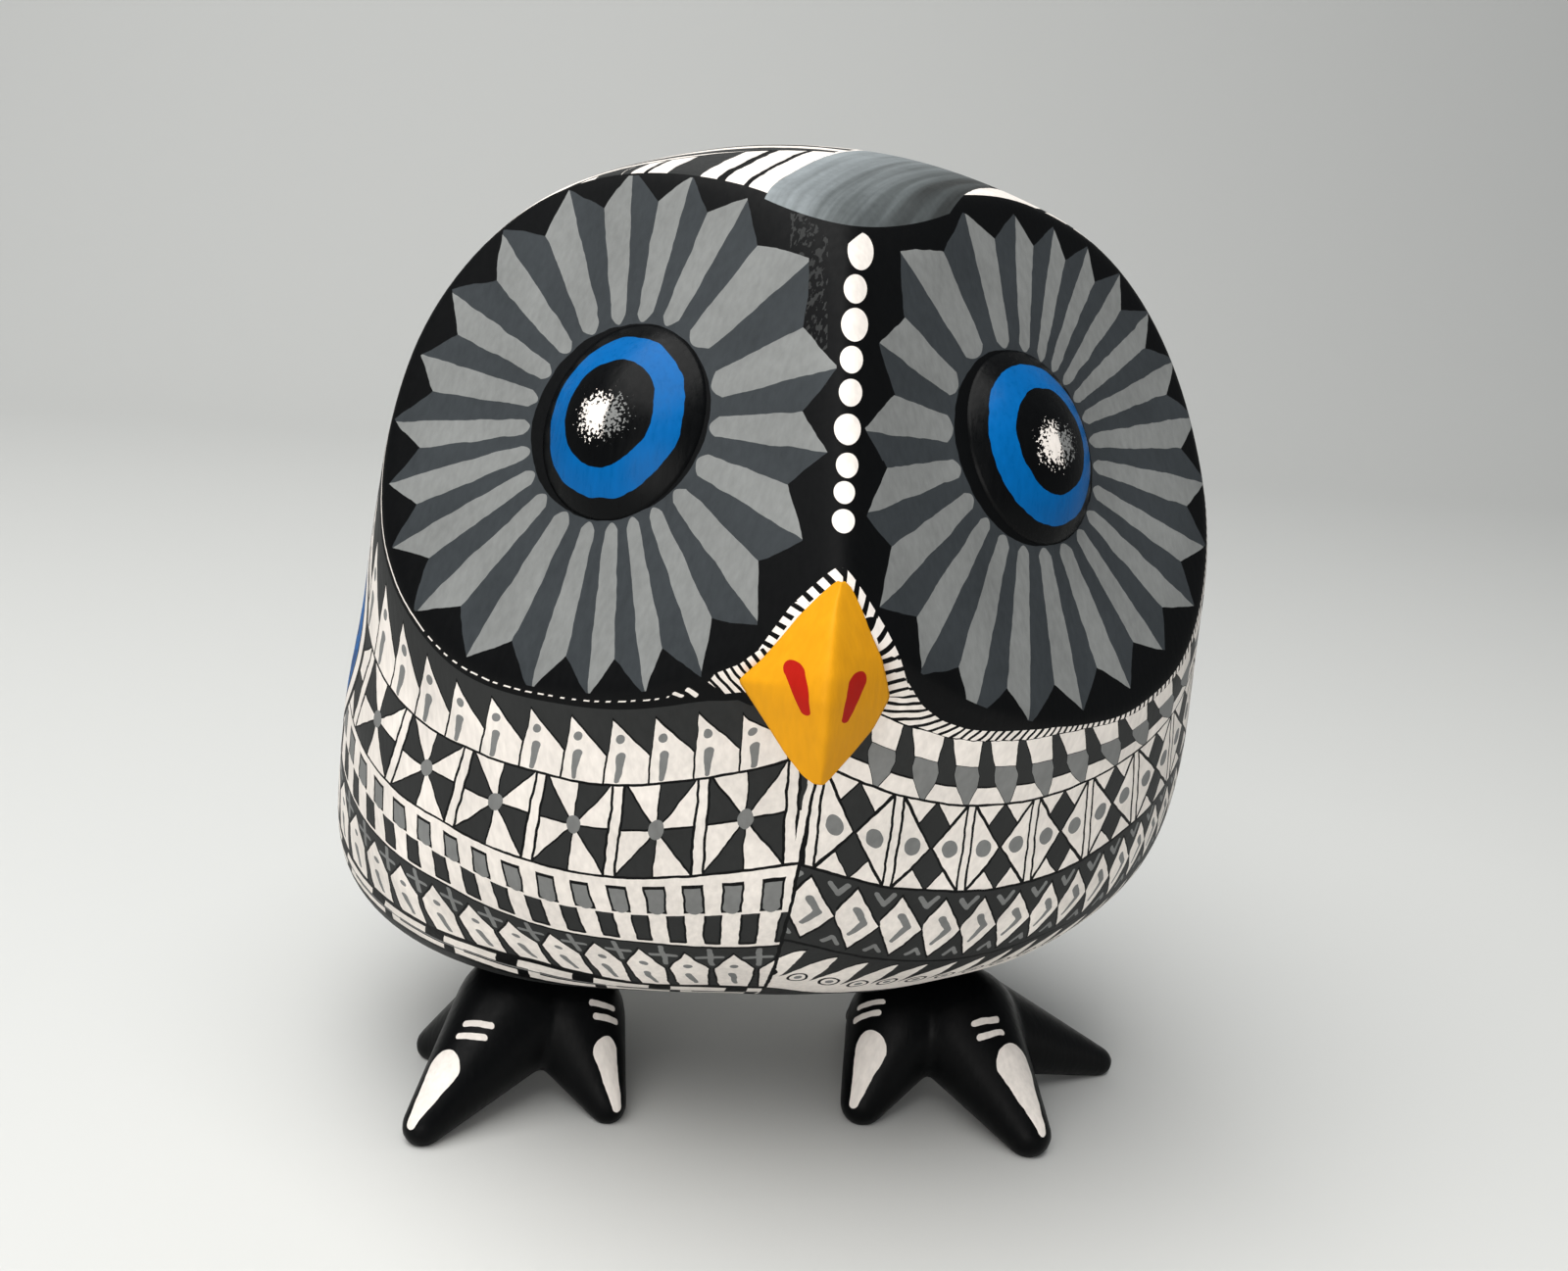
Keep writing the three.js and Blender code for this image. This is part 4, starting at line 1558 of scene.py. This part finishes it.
# %% Beak
BEAK_ROWS, BEAK_COLUMNS = 90, 49
KEEL_ROUNDING = 0.12
BEAK_ROOT = np.array([0.0, -60.0, 68.0])
BEAK_LEFT_EDGE = [(-0.6, -71.0, 79.2), (-1.2, -70.6, 78.6), (-2.4, -70.6, 77.3), (-4.0, -70.6, 75.4),
                  (-5.6, -70.9, 73.2), (-7.2, -70.9, 71.0), (-9.3, -70.6, 68.7), (-6.9, -72.4, 65.7),
                  (-4.6, -74.6, 62.8), (-2.9, -75.8, 61.1), (-1.9, -76.4, 60.6)]
BEAK_RIGHT_EDGE = [(0.1, -71.0, 79.2), (0.8, -70.9, 78.6), (1.9, -71.2, 76.7), (3.2, -71.6, 74.0),
                   (4.3, -71.9, 71.9), (5.0, -71.6, 69.8), (5.6, -71.0, 67.8), (4.0, -72.6, 65.1),
                   (1.6, -74.8, 62.9), (-0.4, -76.2, 61.0), (-0.9, -76.5, 60.6)]
BEAK_KEEL = [(-0.3, -71.4, 79.2), (-0.9, -73.4, 77.6), (-1.3, -75.6, 75.6), (-1.55, -78.3, 71.7),
             (-1.65, -78.9, 69.5), (-1.45, -78.5, 66.0), (-1.3, -77.5, 62.8), (-1.3, -76.7, 60.6)]
SMOOTHING = 2


def even_run(corners, count):
    """Evenly spaced points along a line through the corners, its bends eased a little."""
    corners = np.array(corners)
    lengths = np.linalg.norm(np.diff(corners, axis=0), axis=1)
    share = np.concatenate([[0], np.cumsum(lengths)]) / lengths.sum()
    even = np.linspace(0, 1, count)
    run = np.stack([np.interp(even, share, corners[:, axis]) for axis in range(3)], axis=1)
    for _ in range(SMOOTHING):
        run[1:-1] = (run[:-2] + 2 * run[1:-1] + run[2:]) / 4
    return run


def beak_piece(material):
    """Rows from the left edge over the keel to the right edge, closed by faces to the root."""
    across = np.linspace(-1, 1, BEAK_COLUMNS)[None, :, None]
    keel = even_run(BEAK_KEEL, BEAK_ROWS)[:, None]
    left = even_run(BEAK_LEFT_EDGE, BEAK_ROWS)[:, None]
    right_side = even_run(BEAK_RIGHT_EDGE, BEAK_ROWS)[:, None]
    soft = np.sqrt(across ** 2 + KEEL_ROUNDING ** 2) / math.sqrt(1 + KEEL_ROUNDING ** 2)
    front = keel + (right_side - keel) * (soft + across) / 2 + (left - keel) * (soft - across) / 2
    index = np.arange(BEAK_ROWS * BEAK_COLUMNS).reshape(BEAK_ROWS, BEAK_COLUMNS)
    a, b = index[:-1, :-1].ravel().tolist(), index[:-1, 1:].ravel().tolist()
    c, d = index[1:, 1:].ravel().tolist(), index[1:, :-1].ravel().tolist()
    faces = list(zip(a, d, c, b))
    edge = np.concatenate([index[:, 0], index[-1, 1:], index[::-1, -1][1:], index[0, ::-1][1:]]).tolist()
    root = BEAK_ROWS * BEAK_COLUMNS
    faces += [(v, u, root) for u, v in zip(edge[:-1], edge[1:])]
    return new_object("beak", np.vstack([front.reshape(-1, 3), BEAK_ROOT]), faces, [material])


# %% Beak paint
NOSTRILS = [((-4.45, 71.0), (-3.35, 67.9), 2.0, 0.85), ((1.6, 70.4), (0.55, 67.2), 2.0, 0.85)]
YELLOWS, RED = (linear(208, 141, 18), linear(225, 158, 24)), linear(168, 26, 16)


def beak_paint():
    """Two yellows in soft patches, and two red drops for the nostrils."""
    pot = Pot("beak_paint")
    place = pot.place()
    x, y, z = pot.split(place)
    x, z = wavering(pot, x, z, place, 0.1)
    red = strokes(pot, x, z, *NOSTRILS)
    patches = pot.noise(place, 0.14, 3.0)
    bristles = pot.noise(place, 1.2, 2.0, (1, 1, 0.3))
    yellow = pot.over_colour(YELLOWS[0], patches, YELLOWS[1])
    colour = pot.over_colour(yellow, red, RED)
    wear = (bristles - 0.5) * 0.2
    return brushed(pot, colour, wear, bristles, wear + ROUGHNESS)


beak_piece(beak_paint())

# %% [markdown]
# ## The feet
#
# Each foot is four toes that run together under the belly. A toe is a cone with round ends. The toes
# of a foot are joined by remeshing them as one lump, a few smoothing passes fill the forks between
# them as a rasp would leave them, and a cut at the floor makes the soles flat.

# %% Toes
TOES = {
    "foot_left": [
        ((-29.6, -28.5, 10.4), 7.6, (-39.7, -41.6, 1.9), 2.5),
        ((-22.8, -28.0, 9.8), 7.0, (-17.7, -35.8, 1.8), 2.4),
        ((-29.0, -26.5, 10.0), 6.8, (-40.1, -21.4, 1.6), 2.2),
        ((-25.0, -24.0, 9.0), 6.5, (-19.8, -11.0, 1.7), 2.3),
    ],
    "foot_right": [
        ((27.2, -28.5, 10.4), 7.6, (34.4, -41.3, 2.2), 2.9),
        ((19.6, -28.0, 9.8), 7.0, (14.5, -34.6, 2.2), 2.9),
        ((28.0, -26.5, 10.0), 6.8, (48.7, -21.4, 1.5), 2.0),
        ((23.0, -24.0, 9.0), 6.5, (17.8, -11.0, 1.7), 2.3),
    ],
}
# For the two front toes: where the claw begins, measured back from the tip, its width there, and the
# place of the nearer of two dashes, back and to the side, with how much it slopes.
CLAWS = {
    "foot_left": [(-5.9, 4.2, -10.4, -1.2, 0.6), (-5.3, 3.3, -8.8, -1.0, -0.6)],
    "foot_right": [(-7.2, 5.0, -11.4, 1.6, -0.2), (-5.4, 4.2, -8.8, 2.0, 0.7)],
}
TOE_SPOKES, TOE_END_RINGS = 32, 9
FOOT_VOXEL, FOOT_SMOOTHINGS = 0.5, 6


def toe_rings(knuckle, knuckle_radius, tip, tip_radius):
    """A cone between two balls of different size, with its rings set square to its own axis."""
    start, end = np.array(knuckle), np.array(tip)
    length = np.linalg.norm(end - start)
    axis = (end - start) / length
    slope = math.asin((knuckle_radius - tip_radius) / length)
    low = np.linspace(-math.pi / 2, slope, TOE_END_RINGS)
    high = np.linspace(slope, math.pi / 2, TOE_END_RINGS)
    radii = np.concatenate([knuckle_radius * np.cos(low), tip_radius * np.cos(high)])
    heights = np.concatenate([knuckle_radius * np.sin(low), length + tip_radius * np.sin(high)])
    side = np.cross(axis, [0, 0, 1])
    side /= np.linalg.norm(side)
    other = np.cross(axis, side)
    rings = turned_grid(radii[1:-1], heights[1:-1], TOE_SPOKES).reshape(-1, 3)
    local = np.vstack([[[0, 0, heights[0]]], rings, [[0, 0, heights[-1]]]])
    return start + local[:, :1] * side + local[:, 1:2] * other + local[:, 2:] * axis


def apply_modifier(made, kind, settings):
    """Adds a modifier and applies it at once."""
    modifier = made.modifiers.new(kind, kind)
    for name, value in settings.items():
        setattr(modifier, name, value)
    with bpy.context.temp_override(object=made, active_object=made, selected_objects=[made]):
        bpy.ops.object.modifier_apply(modifier=modifier.name)


def foot_piece(name, toes, material):
    """Four toes as one mesh, remeshed into one lump, smoothed and cut flat."""
    places, faces = [], []
    for toe in toes:
        count = sum(len(part) for part in places)
        ring_points = toe_rings(*toe)
        toe_faces = closed_rings((len(ring_points) - 2) // TOE_SPOKES, TOE_SPOKES)
        places.append(ring_points)
        faces += [tuple(corner + count for corner in face[::-1]) for face in toe_faces]
    made = new_object(name, np.vstack(places), faces, [material])
    bpy.context.view_layer.objects.active = made
    voxels = {"mode": "VOXEL", "voxel_size": FOOT_VOXEL * MM, "use_smooth_shade": True}
    apply_modifier(made, "REMESH", voxels)
    apply_modifier(made, "SMOOTH", {"factor": 0.5, "iterations": FOOT_SMOOTHINGS})
    flatten_soles(made)
    print(name, "as one lump:", len(made.data.polygons), "faces")
    return made


def flatten_soles(made):
    """Cuts the mesh at the floor, throws away what is below and closes the cut."""
    shape = bmesh.new()
    shape.from_mesh(made.data)
    everything = shape.verts[:] + shape.edges[:] + shape.faces[:]
    floor = {"plane_co": (0, 0, 0), "plane_no": (0, 0, -1)}
    cut = bmesh.ops.bisect_plane(shape, geom=everything, clear_outer=True, **floor)
    rim = [part for part in cut["geom_cut"] if isinstance(part, bmesh.types.BMEdge)]
    bmesh.ops.holes_fill(shape, edges=rim, sides=0)
    bmesh.ops.triangulate(shape, faces=[face for face in shape.faces if len(face.verts) > 4])
    bmesh.ops.recalc_face_normals(shape, faces=shape.faces[:])
    for face in shape.faces:
        face.smooth = abs(face.normal.z) < 0.999
    shape.to_mesh(made.data)
    shape.free()


# %% Foot paint
CLAW_TIP, CLAW_TIP_WIDTH = (0.0, 1.2), 1.2
DASH_REACH, DASH_WIDTH, DASH_STEP = 1.5, 0.75, 1.6
TOP_ONLY = 0.6
FOOT_ROUGHNESS = 0.38


def foot_paint(name, toes):
    """Black, with a white claw on top of each front toe and two short dashes above it."""
    pot = Pot(name + "_paint")
    place = pot.place()
    tone = INK
    for (knuckle, _, tip, _), (start, width, back, aside, slope) in zip(toes, CLAWS[name]):
        axis = np.array(tip) - np.array(knuckle)
        axis = axis / np.linalg.norm(axis)
        side = np.cross(axis, [0, 0, 1])
        side /= np.linalg.norm(side)
        over = np.cross(side, axis)
        from_tip = pot.minus(place, tip)
        x, y, z = pot.dot(from_tip, side), pot.dot(from_tip, axis), pot.dot(from_tip, over)
        x, y = wavering(pot, x, y, place, 0.15)
        claw = stroke(pot, x, y, (0.0, start), CLAW_TIP, width, CLAW_TIP_WIDTH)
        ends = (aside - DASH_REACH, back - slope), (aside + DASH_REACH, back + slope)
        near_dash = stroke(pot, x, y, *ends, DASH_WIDTH)
        far_dash = stroke(pot, x, y + DASH_STEP, *ends, DASH_WIDTH)
        tone = pot.over(tone, (claw | near_dash | far_dash) & (z > TOP_ONLY), WHITE)
    return finish(pot, tone, place, FOOT_ROUGHNESS)


for foot_name, foot_toes in TOES.items():
    foot_piece(foot_name, foot_toes, foot_paint(foot_name, foot_toes))

# %% [markdown]
# ## The floor
#
# The owl stands on a pale sheet that curves up behind it, as in a light tent. A plain plane would show
# a horizon behind the owl. The sheet is a profile with a quarter circle in it, drawn out sideways.

# %% Floor
SWEEP_DEPTH, SWEEP_HEIGHT, SWEEP_WIDTH, SWEEP_CURVE = 700.0, 900.0, 2400.0, 260.0
SWEEP_FRONT, CURVE_STEPS = -1200.0, 24


def sweep_piece():
    """A level sheet, a quarter circle and an upright sheet, drawn out sideways."""
    quarter = np.linspace(0, math.pi / 2, CURVE_STEPS)
    floor_run = np.array([[SWEEP_FRONT, 0.0], [SWEEP_DEPTH - SWEEP_CURVE, 0.0]])
    curve = np.stack([
        SWEEP_DEPTH - SWEEP_CURVE + SWEEP_CURVE * np.sin(quarter[1:]),
        SWEEP_CURVE - SWEEP_CURVE * np.cos(quarter[1:]),
    ], axis=1)
    profile = np.vstack([floor_run, curve, [[SWEEP_DEPTH, SWEEP_HEIGHT]]])
    rows = len(profile)
    vertices = [(side * SWEEP_WIDTH / 2 * MM, y * MM, z * MM) for side in (-1, 1) for y, z in profile]
    faces = [(i, i + 1, rows + i + 1, rows + i) for i in range(rows - 1)]
    mesh = bpy.data.meshes.new("backdrop")
    mesh.from_pydata(vertices, [], [face[::-1] for face in faces])
    mesh.polygons.foreach_set("use_smooth", [True] * len(mesh.polygons))
    made = bpy.data.objects.new("backdrop", mesh)
    bpy.context.scene.collection.objects.link(made)
    pot = Pot("backdrop_paint")
    pot.shader.inputs["Base Color"].default_value = (*linear(209, 210, 208), 1)
    pot.shader.inputs["Roughness"].default_value = 0.75
    mesh.materials.append(pot.material)
    print("backdrop", len(faces), "faces")


sweep_piece()

# %% [markdown]
# ## The light
#
# The shade under the belly is soft and the paint has no hard glints, so the lamps are large. One wide
# lamp is above and to the left, a weak one stands low in front, and the pale surroundings do the rest.
# A lamp shines along its own downward axis, so that axis is turned towards the target.

# %% Light
def lamp(name, place, target, size, power, colour):
    """A square lamp that faces its target."""
    data = bpy.data.lights.new(name, "AREA")
    data.size, data.energy, data.color = size * MM, power, colour
    made = bpy.data.objects.new(name, data)
    bpy.context.scene.collection.objects.link(made)
    towards = (np.array(place) - np.array(target)) / math.dist(place, target)
    sideways = np.cross([0.0, 0.0, 1.0], towards)
    sideways /= np.linalg.norm(sideways)
    axes = np.stack([sideways, np.cross(towards, sideways), towards], axis=1)
    made.matrix_world = Matrix.Translation(np.array(place) * MM) @ Matrix(axes.tolist()).to_4x4()


lamp("window", (-160, -140, 680), (0, 0, 50), 700, 6.9, (1.0, 0.99, 0.97))
lamp("fill", (-130, -430, 60), (0, 0, 50), 320, 0.95, (1.0, 0.97, 0.94))
world = bpy.data.worlds.new("studio")
world.use_nodes = True
surroundings = world.node_tree.nodes["Background"].inputs
surroundings["Color"].default_value = (0.93, 0.96, 1.0, 1)
surroundings["Strength"].default_value = 0.25
bpy.context.scene.world = world
bpy.context.scene.view_settings.view_transform = "Standard"
print("lamps:", [lamp_data.name for lamp_data in bpy.data.lights])

# %% [markdown]
# The finished model must keep to the solid's box.
